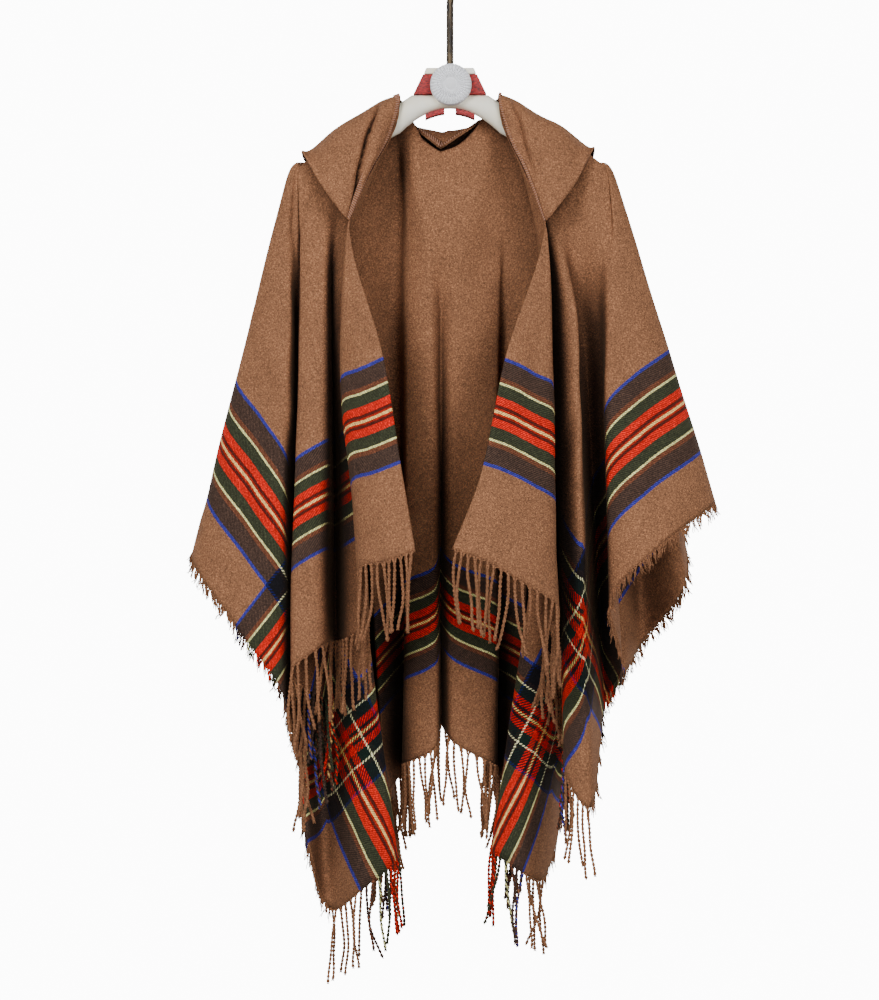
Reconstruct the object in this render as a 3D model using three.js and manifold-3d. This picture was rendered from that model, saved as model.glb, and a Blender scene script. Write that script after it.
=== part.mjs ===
// Hooded poncho hung open on a plain hanger, in millimetres, +Z up, front facing -Y.
//
// The poncho is one woven rectangle with a slit from the middle of its front hem to just behind the
// shoulders. A hood of two panels is sewn along the neck end of that slit. The rectangle lies over
// the arms of the hanger, its front parts and its back fall in deep folds, and all four corners hang
// lowest. The body cloth is parted along its shoulder line, so each hanging stretch is a solid.
//
// Places on the flat rectangle are (s, t): s from the slit out to a side edge, t from the shoulder
// line down the front (above zero) or down the back (below zero).

import * as THREE from 'three';
import { mergeVertices } from 'three/addons/utils/BufferGeometryUtils.js';
import ManifoldModule from 'manifold-3d';

// ---------------------------------------------------------------- driving dimensions

const HALF_WIDTH = 610;            // slit to side edge, frayed tips included
const FRONT_LENGTH = 600;          // shoulder line to front hem
const BACK_LENGTH = 860;           // shoulder line to back hem
const NECK_FRONT = 185;            // slit sewn to the hood below the shoulder line
const CLOTH = 2;                   // thickness of the wool cloth
const SEAM_GAP = 0.3;              // clear space where two pieces meet
const FOLD_PITCH = 42;             // widest column of faces round a fold
const LEVELS = [0, 0.016, 0.05, 0.11, 0.19, 0.3, 0.42, 0.55, 0.68, 0.8, 0.9, 1];

const FRINGE_LENGTH = 100;         // twisted strands below both hems
const FRINGE_PITCH = 13;
const STRAND = 2.8;                // thickness of a twisted strand
const FRINGE_ROOT = 4;             // height of the knotted strip that the strands leave
const ROOT_THICK = 3;

const NECK_Z = -200;               // top of the hanger arms where the cloth meets the neck
const ARM_NECK_X = 63;             // half the width of the bare middle of the hanger
const ARM_TIP_X = 188;             // half the width of the hanger
const ARM_SLOPE = 0.67;
const ARM_DEPTH = 22;              // front to back
const ARM_HEIGHT = 38;             // at the neck
const ARM_TIP_HEIGHT = 20;
const ROD = 9;                     // thickness of the hook's rod
const HOOK_INSIDE = 20;            // inside radius of the hook

const SHOULDER = 160;              // cloth from the neck to where its folds leave the arm's end
const SHOULDER_X = ARM_TIP_X - 5;
const WRAP = ARM_DEPTH / 2 + 4.5;  // how far the cloth stands off the middle of an arm
const OVER_ARM = 4.6;              // middle of the cloth above the top of an arm

// ---------------------------------------------------------------- colours

const FINISH = {
  wool: { color: 0x9a6b4c, roughness: 0.95, metalness: 0 },
  fringe: { color: 0x8a5d41, roughness: 0.95, metalness: 0 },
  cream: { color: 0xf3ead6, roughness: 0.55, metalness: 0 },
  red: { color: 0xb5242c, roughness: 0.8, metalness: 0 },
  white: { color: 0xf2f3f5, roughness: 0.8, metalness: 0 },
  iron: { color: 0x2d2b26, roughness: 0.45, metalness: 0.8 },
};

// ---------------------------------------------------------------- folds
//
// Each row is one fold line of the body cloth, from the hanger down to the edge of the rectangle.
//   s, t    where it meets the edge of the flat rectangle
//   from    where it leaves the hanger: mm from the neck out along the shoulder, below zero along
//           the back of the neck; 'corner' is the lower corner of the hood's seam
//   x, y    where its lower end hangs
//   bends   places on the way: share of its length, x, y
//   ways    places on the way that also bend on the flat cloth: s, t, x, y
//   outer   true where it shapes the outline seen from the front
//   give    how much the loose weave lengthens along it, chiefly where it hangs on the bias
// Heights aren't given: a fold line keeps its length, so they follow.

const LEFT = { side: -1, corner: [-126, -45], lift: 0 };
const RIGHT = { side: 1, corner: [118, -45], lift: -22 };

LEFT.front = [
  { s: 0, t: 600, from: 'corner', x: -42, y: -160, give: 1.04,
    ways: [[0, 364, -82, -105], [0, 508, -58, -140]] },
  { s: 54, t: 600, from: 'corner', x: -77, y: -150, give: 1.035,
    ways: [[38, 364, -108, -95], [46, 508, -87, -130]] },
  { s: 112, t: 600, from: 'corner', x: -112, y: -115, give: 1.01,
    ways: [[80, 364, -135, -72], [98, 508, -120, -98]] },
  { s: 170, t: 600, from: 45, x: -100, y: -62, give: 1.06, bends: [[0.3, -130, -14], [0.65, -112, -36]] },
  { s: 205, t: 600, from: 75, x: -133, y: -48, give: 1.06, bends: [[0.3, -140, -8], [0.65, -136, -26]] },
  { s: 250, t: 600, from: 100, x: -147, y: -6, give: 1.04, bends: [[0.3, -146, -8], [0.65, -147, -4]] },
  { s: 290, t: 600, from: 120, x: -157, y: -46, give: 1.015,
    ways: [[200, 364, -151, -44], [245, 508, -156, -45]] },
  { s: 338, t: 600, from: 160, x: -197, y: -47, give: 1.025,
    ways: [[235, 364, -189, -42], [285, 508, -196, -45]] },
  { s: 476, t: 600, from: 160, x: -149, y: 43, give: 1.03, bends: [[0.3, -176, 2]] },
  { s: 500, t: 600, from: 160, x: -159, y: 54, give: 1.03, bends: [[0.3, -180, 5]] },
  { s: 552, t: 600, from: 160, x: -184, y: -2, give: 1.035, bends: [[0.3, -184, 5]] },
  { s: 610, t: 600, from: 160, x: -192, y: 44, give: 1.04, bends: [[0.3, -188, 3]] },
  { s: 610, t: 490, from: 160, x: -209, y: -40, give: 1.03, bends: [[0.3, -192, -22], [0.65, -203, -36]] },
  { s: 610, t: 377, from: 160, x: -265, y: -50, give: 1.04, outer: true },
  { s: 610, t: 235, from: 160, x: -327, y: 0, give: 1.045, outer: true },
  { s: 610, t: 110, from: 160, x: -264, y: 64, give: 1.03 },
  { s: 610, t: 0, from: 160, x: -298, y: 122, give: 1.02 },
];
LEFT.back = [
  { s: 610, t: 0, from: 160, x: -298, y: 122, give: 1.02 },
  { s: 610, t: -110, from: 160, x: -252, y: 84, give: 1.02 },
  { s: 610, t: -230, from: 160, x: -277, y: 190, give: 1.02 },
  { s: 610, t: -340, from: 160, x: -236, y: 108, give: 1.03 },
  { s: 610, t: -440, from: 160, x: -238, y: 205, give: 1.04 },
  { s: 610, t: -540, from: 160, x: -213, y: 130, give: 1.05 },
  { s: 610, t: -619, from: 160, x: -196, y: 172, give: 1.04 },
  { s: 610, t: -740, from: 160, x: -188, y: 90, give: 1.01 },
  { s: 610, t: -860, from: 160, x: -156, y: 125, give: 1.016 },
  { s: 530, t: -860, from: 160, x: -110, y: 62 },
  { s: 465, t: -860, from: 155, x: -68, y: 62, give: 0.99 },
  { s: 370, t: -860, from: 140, x: -98, y: 135 },
  { s: 300, t: -860, from: 115, x: -70, y: 185 },
  { s: 235, t: -860, from: 85, x: -86, y: 130 },
  { s: 165, t: -860, from: 45, x: -52, y: 168, bends: [[0.3, -66, 46]] },
  { s: 100, t: -860, from: 0, x: -66, y: 110, bends: [[0.3, -62, 30]] },
  { s: 32, t: -860, from: -60, x: -26, y: 76, give: 0.97, bends: [[0.3, -28, 28]] },
  { s: 0, t: -860, from: -90, x: -12, y: 98, give: 0.97, bends: [[0.3, -12, 40]] },
];
RIGHT.front = [
  { s: 0, t: 600, from: 'corner', x: 2, y: -160, give: 1.05,
    ways: [[0, 364, 67, -105], [0, 508, 36, -140]] },
  { s: 56, t: 600, from: 'corner', x: 42, y: -152, give: 1.045,
    ways: [[20, 364, 86, -98], [36, 508, 66, -132]] },
  { s: 114, t: 600, from: 'corner', x: 88, y: -136, give: 1.05,
    ways: [[42, 364, 106, -88], [74, 508, 98, -118]] },
  { s: 168, t: 600, from: 'corner', x: 131, y: -104, give: 1.06,
    ways: [[62, 364, 126, -74], [112, 508, 128, -95]] },
  { s: 280, t: 600, from: 30, x: 117, y: -12, give: 1.04, bends: [[0.3, 110, -14], [0.65, 114, -13]] },
  { s: 405, t: 600, from: 45, x: 152, y: 42, give: 1.05 },
  { s: 535, t: 600, from: 58, x: 143, y: -20, give: 1.07, bends: [[0.3, 131, -26], [0.65, 136, -24]] },
  { s: 610, t: 600, from: 70, x: 174, y: -36, give: 1.085, bends: [[0.3, 150, -36], [0.65, 160, -40]] },
  { s: 610, t: 517, from: 90, x: 190, y: 6, give: 1.07 },
  { s: 610, t: 450, from: 110, x: 198, y: 46, give: 1.075 },
  { s: 610, t: 386, from: 130, x: 218, y: 8, give: 1.08 },
  { s: 610, t: 275, from: 160, x: 200, y: -42, give: 1.06, bends: [[0.3, 189, -22], [0.65, 191, -36]] },
  { s: 610, t: 170, from: 160, x: 255, y: -60, give: 1.05, outer: true },
  { s: 610, t: 50, from: 160, x: 335, y: -5, give: 1.04, outer: true },
  { s: 610, t: 0, from: 160, x: 334, y: 45, give: 1.04 },
];
RIGHT.back = [
  { s: 610, t: 0, from: 160, x: 334, y: 45, give: 1.04 },
  { s: 610, t: -110, from: 160, x: 331, y: 135, give: 1.03 },
  { s: 610, t: -215, from: 160, x: 312, y: 206, give: 1.02 },
  { s: 610, t: -350, from: 160, x: 306, y: 92, give: 1.03 },
  { s: 610, t: -470, from: 160, x: 258, y: 160, give: 1.03 },
  { s: 610, t: -530, from: 160, x: 228, y: 108 },
  { s: 610, t: -625, from: 160, x: 180, y: 104 },
  { s: 610, t: -740, from: 160, x: 156, y: 168 },
  { s: 610, t: -860, from: 160, x: 123, y: 104, give: 0.99 },
  { s: 530, t: -860, from: 160, x: 90, y: 62 },
  { s: 465, t: -860, from: 155, x: 54, y: 74 },
  { s: 370, t: -860, from: 140, x: 98, y: 128 },
  { s: 300, t: -860, from: 115, x: 70, y: 182 },
  { s: 235, t: -860, from: 85, x: 86, y: 126 },
  { s: 165, t: -860, from: 45, x: 46, y: 160, bends: [[0.3, 66, 46]] },
  { s: 97, t: -860, from: 0, x: 60, y: 98, bends: [[0.3, 58, 30]] },
  { s: 32, t: -860, from: -60, x: 6, y: 76, give: 0.97, bends: [[0.3, 8, 28]] },
  { s: 0, t: -860, from: -90, x: -12, y: 98, give: 0.97, bends: [[0.3, -12, 40]] },
];

// Back of the neck, from its lowest point to the shoulder: mm before the shoulder, x, y, height
// above the neck level.
LEFT.neckEdge = [
  [-90, -12, 31, -57],
  [-64, -30, 29, -45],
  [-36, -50, 24, -25],
  [-17, -61.5, 16.8, 0],
  [0, -63, 0, OVER_ARM],
];
RIGHT.neckEdge = [
  [-90, -12, 31, -57],
  [-70, 10, 30, -49],
  [-44, 34, 25, -28],
  [-19, 57, 16, -3],
  [0, 61, 0, OVER_ARM],
];

// ---------------------------------------------------------------- curves

// Smooth value at `at` through values given at rising knots.
function through(knots, values, at) {
  const last = knots.length - 1;
  let i = 0;
  while (i < last - 1 && at > knots[i + 1]) i += 1;
  const slope = (j) => {
    const a = Math.max(j - 1, 0);
    const b = Math.min(j + 1, last);
    return (values[b] - values[a]) / (knots[b] - knots[a]);
  };
  const width = knots[i + 1] - knots[i];
  const u = (at - knots[i]) / width;
  const v = 1 - u;
  return values[i] * (1 + 2 * u) * v * v + values[i + 1] * (1 + 2 * v) * u * u
    + width * u * v * (slope(i) * v - slope(i + 1) * u);
}

function armTop(x) {
  return NECK_Z - ARM_SLOPE * (Math.abs(x) - ARM_NECK_X);
}

// Straight-line value at `at` between values given at rising knots.
function between(knots, values, at) {
  let i = 0;
  while (i < knots.length - 2 && at > knots[i + 1]) i += 1;
  const u = (at - knots[i]) / (knots[i + 1] - knots[i]);
  return values[i] + u * (values[i + 1] - values[i]);
}

// The point of the support line that a fold line leaves from.
function supportPoint(half, from) {
  if (from < 0) {
    const knots = half.neckEdge.map((row) => row[0]);
    const [x, y, up] = [1, 2, 3].map((i) => {
      return through(knots, half.neckEdge.map((row) => row[i]), from);
    });
    return new THREE.Vector3(x, y, NECK_Z + up);
  }
  const neckX = half.neckEdge[half.neckEdge.length - 1][1];
  const x = neckX + (from / SHOULDER) * (half.side * SHOULDER_X - neckX);
  return new THREE.Vector3(x, 0, armTop(x) + OVER_ARM);
}

// ---------------------------------------------------------------- body cloth

const CORNER_SHARE = 0.3;          // share of a fold line at which it passes the seam's corner
const STEPS = 120;                 // steps in which a fold line's height is worked out

// The flat route of a fold line: places (s, t) and the share of the line at each.
function flatRoute(row, half) {
  const viaCorner = row.from === 'corner';
  const from = viaCorner ? 0 : row.from;
  const start = from >= 0 ? [from, (half.lift * from) / SHOULDER] : [0, from];
  const places = [start];
  if (viaCorner) places.push([0, NECK_FRONT]);
  for (const [s, t] of row.ways ?? []) places.push([s, t]);
  places.push([row.s, row.t]);
  const run = [0];
  for (let i = 1; i < places.length; i += 1) {
    const [s, t] = [0, 1].map((k) => places[i][k] - places[i - 1][k]);
    run.push(run[i - 1] + Math.hypot(s, t));
  }
  const whole = run[run.length - 1];
  const share = (length) => {
    if (!viaCorner) return length / whole;
    if (length <= NECK_FRONT) return (CORNER_SHARE * length) / NECK_FRONT;
    return CORNER_SHARE + ((1 - CORNER_SHARE) * (length - NECK_FRONT)) / (whole - NECK_FRONT);
  };
  return { places, shares: run.map(share) };
}

const EASE = 0.14;                 // share of its length in which a fold opens
const OPENED = 2.6 * EASE;         // share at which it heads straight for its lower end
const NEIGHBOURS = [1, 2, 3, 2, 1];   // weights of a fold line and of those beside it

// Near the hanger the cloth is smooth: there a fold line heads for a place between its neighbours'.
function eased(row, half) {
  const isFront = half.front.includes(row);
  const front = isFront ? half.front : half.front.slice(0, -1);
  const rows = [...front, ...(isFront ? half.back.slice(1) : half.back)];
  const first = rows.indexOf(row) - (NEIGHBOURS.length - 1) / 2;
  const near = NEIGHBOURS.map((_, k) => rows[Math.min(Math.max(first + k, 0), rows.length - 1)]);
  const whole = NEIGHBOURS.reduce((sum, weight) => sum + weight, 0);
  return ['x', 'y'].map((key) => {
    return near.reduce((sum, other, k) => sum + NEIGHBOURS[k] * other[key], 0) / whole;
  });
}

// One fold line as points at the given shares, each with its place (s, t) on the flat cloth.
function foldLine(row, half, atShares = LEVELS) {
  const viaCorner = row.from === 'corner';
  const from = viaCorner ? 0 : row.from;
  const top = supportPoint(half, from);
  const route = flatRoute(row, half);
  const flat = (share) => [0, 1].map((i) => {
    return between(route.shares, route.places.map((place) => place[i]), share);
  });

  // Where it crosses the arm, a fold line first runs straight away from the shoulder.
  const away = Math.atan2(row.s - route.places[0][0], row.t - route.places[0][1]);
  const reach = (share, distance) => {
    const fade = viaCorner ? Math.max(0, 1 - share / CORNER_SHARE) : 1 - share;
    return from >= 0 ? WRAP * Math.tanh(distance / WRAP) * fade : 0;
  };
  const clearOfArm = from < SHOULDER ? Math.sign(Math.cos(away)) : Math.cos(away);
  const [awayX, awayY] = viaCorner ? [0, -1] : [half.side * Math.sin(away), -clearOfArm];

  const stops = [[0, top.x, top.y]];
  if (viaCorner) {
    const [cornerX, cornerY] = half.corner;
    stops.push([0.06, top.x + half.side * 3, -3]);
    stops.push([0.19, 0.25 * top.x + 0.75 * cornerX, 0.6 * cornerY]);
    stops.push([CORNER_SHARE, cornerX, cornerY]);
  }
  for (const bend of row.bends ?? []) stops.push(bend);
  (row.ways ?? []).forEach(([, , x, y], i) => {
    stops.push([route.shares[i + (viaCorner ? 2 : 1)], x, y]);
  });
  if (!viaCorner && !row.outer) {
    const first = row.bends?.[0]?.[0] ?? route.shares[1];
    const [easedX, easedY] = eased(row, half);
    if (first > 2 * EASE) stops.push([EASE, top.x + EASE * (easedX - top.x), EASE * easedY]);
    if (first > 0.6) {
      stops.push([OPENED, top.x + OPENED * (row.x - top.x), top.y + OPENED * (row.y - top.y)]);
    }
    stops.sort((a, b) => a[0] - b[0]);
  }
  stops.push([1, row.x, row.y]);
  const [shares, xs, ys] = [0, 1, 2].map((i) => stops.map((stop) => stop[i]));

  const line = [];
  let z = top.z;
  let distance = 0;
  for (let step = 0; step <= STEPS; step += 1) {
    const share = (step / STEPS) ** 1.5;
    const [s, t] = flat(share);
    const before = line[step - 1];
    const give = viaCorner && share <= CORNER_SHARE ? 1 : row.give ?? 1;
    const run = before ? give * Math.hypot(s - before.s, t - before.t) : 0;
    distance += run;
    const x = through(shares, xs, share) + awayX * reach(share, distance);
    const y = through(shares, ys, share) + awayY * reach(share, distance);
    const level = before ? Math.hypot(x - before.x, y - before.y) : 0;
    z -= Math.sqrt(Math.max(run * run - level * level, 0));
    line.push({ share, s, t, x, y, z });
  }

  const steps = line.map((place) => place.share);
  return atShares.map((share) => {
    const value = (key) => between(steps, line.map((place) => place[key]), share);
    const point = new THREE.Vector3(value('x'), value('y'), value('z'));
    return { point, flat: [value('s'), value('t')] };
  });
}

const SAME_PLACE = 0.5;            // fold lines that run closer than this share their points
const NECK_PITCH = 15;             // widest column of faces round the back of the neck

// The hanging cloth of a table of fold lines: columns of points, from the first fold line round to
// the last, with extra columns between them.
function hang(rows, half) {
  const lines = rows.map((row) => foldLine(row, half));
  for (let i = 1; i < lines.length; i += 1) {
    lines[i].forEach(({ point }, level) => {
      const before = lines[i - 1][level].point;
      if (point.distanceTo(before) < SAME_PLACE) point.copy(before);
    });
  }
  const froms = rows.map((row) => (row.from === 'corner' ? 0 : row.from));
  const knots = [0];
  for (let i = 1; i < rows.length; i += 1) {
    knots.push(knots[i - 1] + Math.hypot(rows[i].s - rows[i - 1].s, rows[i].t - rows[i - 1].t));
  }
  const columns = [];
  for (let i = 0; i < rows.length - 1; i += 1) {
    const roundNeck = Math.max(0, -froms[i + 1]) - Math.max(0, -froms[i]);
    const alongEdge = Math.ceil((knots[i + 1] - knots[i]) / FOLD_PITCH);
    const parts = Math.max(2, alongEdge, Math.ceil(roundNeck / NECK_PITCH));
    const lastPart = i === rows.length - 2 ? parts : parts - 1;
    for (let part = 0; part <= lastPart; part += 1) {
      const u = part / parts;
      const at = knots[i] + u * (knots[i + 1] - knots[i]);
      columns.push(LEVELS.map((_, level) => {
        const here = lines[i][level];
        const next = lines[i + 1][level];
        const flat = [0, 1].map((k) => here.flat[k] + u * (next.flat[k] - here.flat[k]));
        if (level === 0) {
          return { point: supportPoint(half, froms[i] + u * (froms[i + 1] - froms[i])), flat };
        }
        if (here.point.equals(next.point)) return { point: here.point.clone(), flat };
        const axis = (key) => through(knots, lines.map((line) => line[level].point[key]), at);
        return { point: new THREE.Vector3(axis('x'), axis('y'), axis('z')), flat };
      }));
    }
  }
  return columns;
}

// ---------------------------------------------------------------- walls

// Outward unit normals at the points of a grid, the same wherever points coincide.
function gridNormals(grid) {
  const shared = new Map();
  const key = (p) => [p.x, p.y, p.z].map((value) => Math.round(value * 100)).join(' ');
  const add = (p, normal) => {
    const sum = shared.get(key(p)) ?? new THREE.Vector3();
    shared.set(key(p), sum.add(normal));
  };
  for (let i = 0; i < grid.length - 1; i += 1) {
    for (let j = 0; j < grid[i].length - 1; j += 1) {
      const [a, b, c, d] = [grid[i][j], grid[i + 1][j], grid[i + 1][j + 1], grid[i][j + 1]];
      const across = new THREE.Vector3().subVectors(c, a);
      const along = new THREE.Vector3().subVectors(d, b);
      const normal = across.cross(along);
      if (normal.lengthSq() < 1e-9) continue;
      normal.normalize();
      for (const p of [a, b, c, d]) add(p, normal);
    }
  }
  return grid.map((column) => column.map((p) => {
    return (shared.get(key(p)) ?? new THREE.Vector3(0, 0, 1)).clone().normalize();
  }));
}

// A closed wall round a grid of points, half its thickness to each side.
function wall(grid, normals, thickness = CLOTH) {
  const rows = grid[0].length;
  const positions = [];
  const skin = (sign) => grid.forEach((column, i) => column.forEach((p, j) => {
    const q = p.clone().addScaledVector(normals[i][j], (sign * thickness) / 2);
    positions.push(q.x, q.y, q.z);
  }));
  skin(1);
  skin(-1);
  const inner = grid.length * rows;
  const index = [];
  const quad = (a, b, c, d) => index.push(a, b, c, a, c, d);
  for (let i = 0; i < grid.length - 1; i += 1) {
    for (let j = 0; j < rows - 1; j += 1) {
      const [a, b] = [i * rows + j, (i + 1) * rows + j];
      const [c, d] = [b + 1, a + 1];
      quad(a, b, c, d);
      quad(inner + a, inner + d, inner + c, inner + b);
    }
  }
  const rim = (edge) => {
    for (let k = 0; k < edge.length - 1; k += 1) {
      quad(edge[k + 1], edge[k], inner + edge[k], inner + edge[k + 1]);
    }
  };
  const firstToLast = grid.map((_, i) => i * rows);
  const down = grid[0].map((_, j) => j);
  rim(firstToLast);
  rim(down.map((j) => (grid.length - 1) * rows + j));
  rim(firstToLast.map((start) => start + rows - 1).reverse());
  rim(down.slice().reverse());
  return closed(positions, index);
}

// A geometry of shared vertices, without faces that have collapsed, and with its faces outwards.
function closed(positions, index) {
  const raw = new THREE.BufferGeometry();
  raw.setAttribute('position', new THREE.Float32BufferAttribute(positions, 3));
  raw.setIndex(index);
  const merged = mergeVertices(raw, 2e-3);
  const at = merged.attributes.position;
  const corners = merged.index.array;
  const kept = [];
  for (let i = 0; i < corners.length; i += 3) {
    const [a, b, c] = corners.slice(i, i + 3);
    if (a !== b && b !== c && c !== a) kept.push(a, b, c);
  }
  if (volume(at, kept) < 0) {
    for (let i = 0; i < kept.length; i += 3) [kept[i], kept[i + 1]] = [kept[i + 1], kept[i]];
  }
  merged.setIndex(kept);
  return merged;
}

function volume(at, index) {
  const [a, b, c] = [new THREE.Vector3(), new THREE.Vector3(), new THREE.Vector3()];
  let sum = 0;
  for (let i = 0; i < index.length; i += 3) {
    a.fromBufferAttribute(at, index[i]);
    b.fromBufferAttribute(at, index[i + 1]);
    c.fromBufferAttribute(at, index[i + 2]);
    sum += a.dot(b.cross(c)) / 6;
  }
  return sum;
}

// ---------------------------------------------------------------- manifold joins

function solid(geometry) {
  const bare = geometry.clone();
  bare.deleteAttribute('normal');
  bare.deleteAttribute('uv');
  const merged = mergeVertices(bare, 1e-4);
  return new wasm.Manifold(new wasm.Mesh({
    numProp: 3,
    vertProperties: Float32Array.from(merged.attributes.position.array),
    triVerts: Uint32Array.from(merged.index.array),
  }));
}

function geometryOf(manifold) {
  const mesh = manifold.getMesh();
  const geometry = new THREE.BufferGeometry();
  const positions = new Float32Array(mesh.numVert * 3);
  for (let i = 0; i < mesh.numVert; i += 1) {
    for (let k = 0; k < 3; k += 1) positions[3 * i + k] = mesh.vertProperties[mesh.numProp * i + k];
  }
  geometry.setAttribute('position', new THREE.BufferAttribute(positions, 3));
  geometry.setIndex([...mesh.triVerts]);
  return geometry;
}

const wasm = await ManifoldModule();
wasm.setup();

// ---------------------------------------------------------------- fringe

// The twisted fringe below a hem: a woven strip parted from the cloth's edge, and its strands.
function fringe(grid, normals, hemColumns) {
  const strip = [];
  const stripNormals = [];
  const places = [];
  let along = 0;
  hemColumns.forEach((i, n) => {
    const column = grid[i];
    const end = column[column.length - 1];
    const down = new THREE.Vector3().subVectors(end, column[column.length - 2]).normalize();
    const normal = normals[i][column.length - 1];
    strip.push([
      end.clone().addScaledVector(down, SEAM_GAP),
      end.clone().addScaledVector(down, SEAM_GAP + FRINGE_ROOT),
    ]);
    stripNormals.push([normal, normal]);
    if (n > 0) along += end.distanceTo(grid[hemColumns[n - 1]][column.length - 1]);
    places.push({ along, root: end.clone().addScaledVector(down, SEAM_GAP + 0.8 * FRINGE_ROOT) });
  });
  const parts = [solid(wall(strip, stripNormals, ROOT_THICK))];

  const count = Math.floor(along / FRINGE_PITCH);
  const margin = (along - (count - 1) * FRINGE_PITCH) / 2;
  const knots = places.map((place) => place.along);
  for (let k = 0; k < count; k += 1) {
    const at = margin + k * FRINGE_PITCH;
    const value = (key) => between(knots, places.map((place) => place.root[key]), at);
    parts.push(solid(strand(new THREE.Vector3(value('x'), value('y'), value('z')), k)));
  }
  // Strands that fall against a fold of their own cloth are trimmed back to it.
  const room = solid(wall(grid, normals, CLOTH + 4 * SEAM_GAP));
  const pieces = wasm.Manifold.union(parts).subtract(room).decompose();
  pieces.sort((a, b) => b.volume() - a.volume());
  return geometryOf(pieces[0]);
}

// One strand: three-sided and tapered, hanging straight down.
function strand(root, k) {
  const positions = [];
  for (const [radius, z] of [[STRAND / 2, root.z], [STRAND / 2.4, root.z - FRINGE_LENGTH]]) {
    for (let corner = 0; corner < 3; corner += 1) {
      const angle = (2 * Math.PI * (corner + 0.5 * (k % 2))) / 3;
      positions.push(root.x + radius * Math.cos(angle), root.y + radius * Math.sin(angle), z);
    }
  }
  return closed(positions, [0, 1, 2, 3, 5, 4, 0, 3, 4, 0, 4, 1, 1, 4, 5, 1, 5, 2, 2, 5, 3, 2, 3, 0]);
}

// ---------------------------------------------------------------- hood
//
// Each panel of the hood is a net of places, x, y and height above the neck level. A row runs from
// the face edge to the middle of the back. The first row is the neck seam, which follows the body
// cloth, and the rows of the tables go on from there to the crown.

LEFT.hood = [
  [
    [-138, -52, -140], [-126, -47, -94], [-110, -38, -50], [-98, -26, -19],
    [-90, 0, 0], [-80, 24, -3], [-58, 37, -20], [-10.5, 45, -31],
  ],
  [
    [-163, -38, -104], [-155, -30, -68], [-142, -16, -38], [-128, -4, -24],
    [-114, 20, -16], [-98, 36, -20], [-66, 50, -34], [-8.5, 56, -44],
  ],
  [
    [-185, -16, -63], [-181, 8, -60], [-172, 20, -56], [-158, 31, -48],
    [-136, 43, -43], [-112, 52, -45], [-70, 62, -54], [-6.5, 67, -66],
  ],
  [
    [-180, 34, -74], [-172, 39, -71], [-162, 43, -70], [-148, 47, -70],
    [-128, 51, -74], [-104, 56, -82], [-62, 62, -94], [-5.5, 67, -110],
  ],
  [
    [-150, 74, -72], [-149, 72, -94], [-141, 69, -114], [-125, 66, -136],
    [-101, 64, -154], [-75, 65, -168], [-40, 66, -176], [-3.5, 67, -178],
  ],
  [
    [-0.4, 96, -20], [-0.4, 106, -60], [-0.4, 110, -95], [-0.4, 111, -128],
    [-0.4, 109, -165], [-0.4, 104, -198], [-0.4, 96, -234], [-0.4, 86, -268],
  ],
];
RIGHT.hood = [
  [
    [131, -52, -140], [121, -47, -94], [107, -38, -50], [96, -26, -19],
    [88, 0, 0], [77, 24, -3], [52, 37, -20], [-9.5, 45, -31],
  ],
  [
    [157, -38, -104], [150, -32, -61], [138, -17, -34], [126, -4, -23],
    [112, 20, -16], [96, 36, -20], [62, 50, -34], [-7.5, 56, -44],
  ],
  [
    [180, -16, -58], [177, 8, -56], [169, 20, -54], [156, 31, -48],
    [135, 43, -43], [111, 52, -45], [68, 62, -54], [-5.5, 67, -66],
  ],
  [
    [177, 34, -73], [170, 39, -70], [161, 43, -69], [147, 47, -70],
    [127, 51, -74], [103, 56, -82], [60, 62, -94], [-4.5, 67, -110],
  ],
  [
    [149, 74, -72], [148, 72, -94], [140, 69, -114], [124, 66, -136],
    [100, 64, -154], [74, 65, -168], [38, 66, -176], [-2.5, 67, -178],
  ],
  [
    [0.4, 96, -20], [0.4, 106, -60], [0.4, 110, -95], [0.4, 111, -128],
    [0.4, 109, -165], [0.4, 104, -198], [0.4, 96, -234], [0.4, 86, -268],
  ],
];
const HOOD_PARTS = { seam: 2, height: 2 };   // faces between two places of the net
const SEAM_STEP = CLOTH + 5 * SEAM_GAP;      // middle of one cloth to the middle of the other
const SEAM_OUT = 0.8;                        // at the front the hood's edge stands this share of a
const SEAM_UP = 0.6;                         // step outside the body's edge and this share above it,
const SEAM_RISE = 0.2;                       // and this share higher again at each place
const SHOULDER_LIFT = 1.4;                   // and on the shoulder this many steps above it

// The hood's side of the neck seam: the front shares go up the slit edge, the back ones go on
// round the neck.
function seamLine(half) {
  const front = foldLine(half.front[0], half, [0.3, 0.19, 0.11, 0.03]).map(({ point }, i) => {
    const up = SEAM_UP + SEAM_RISE * i;
    return point.add(new THREE.Vector3(0, -SEAM_OUT, up).multiplyScalar(SEAM_STEP));
  });
  const back = [0, -17, -36, -89].map((from) => {
    const up = from === 0 ? SHOULDER_LIFT * SEAM_STEP : SEAM_STEP;
    return supportPoint(half, from).add(new THREE.Vector3(0, 0, up));
  });
  return [...front, ...back].map((p) => [p.x, p.y, p.z - NECK_Z]);
}

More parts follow.
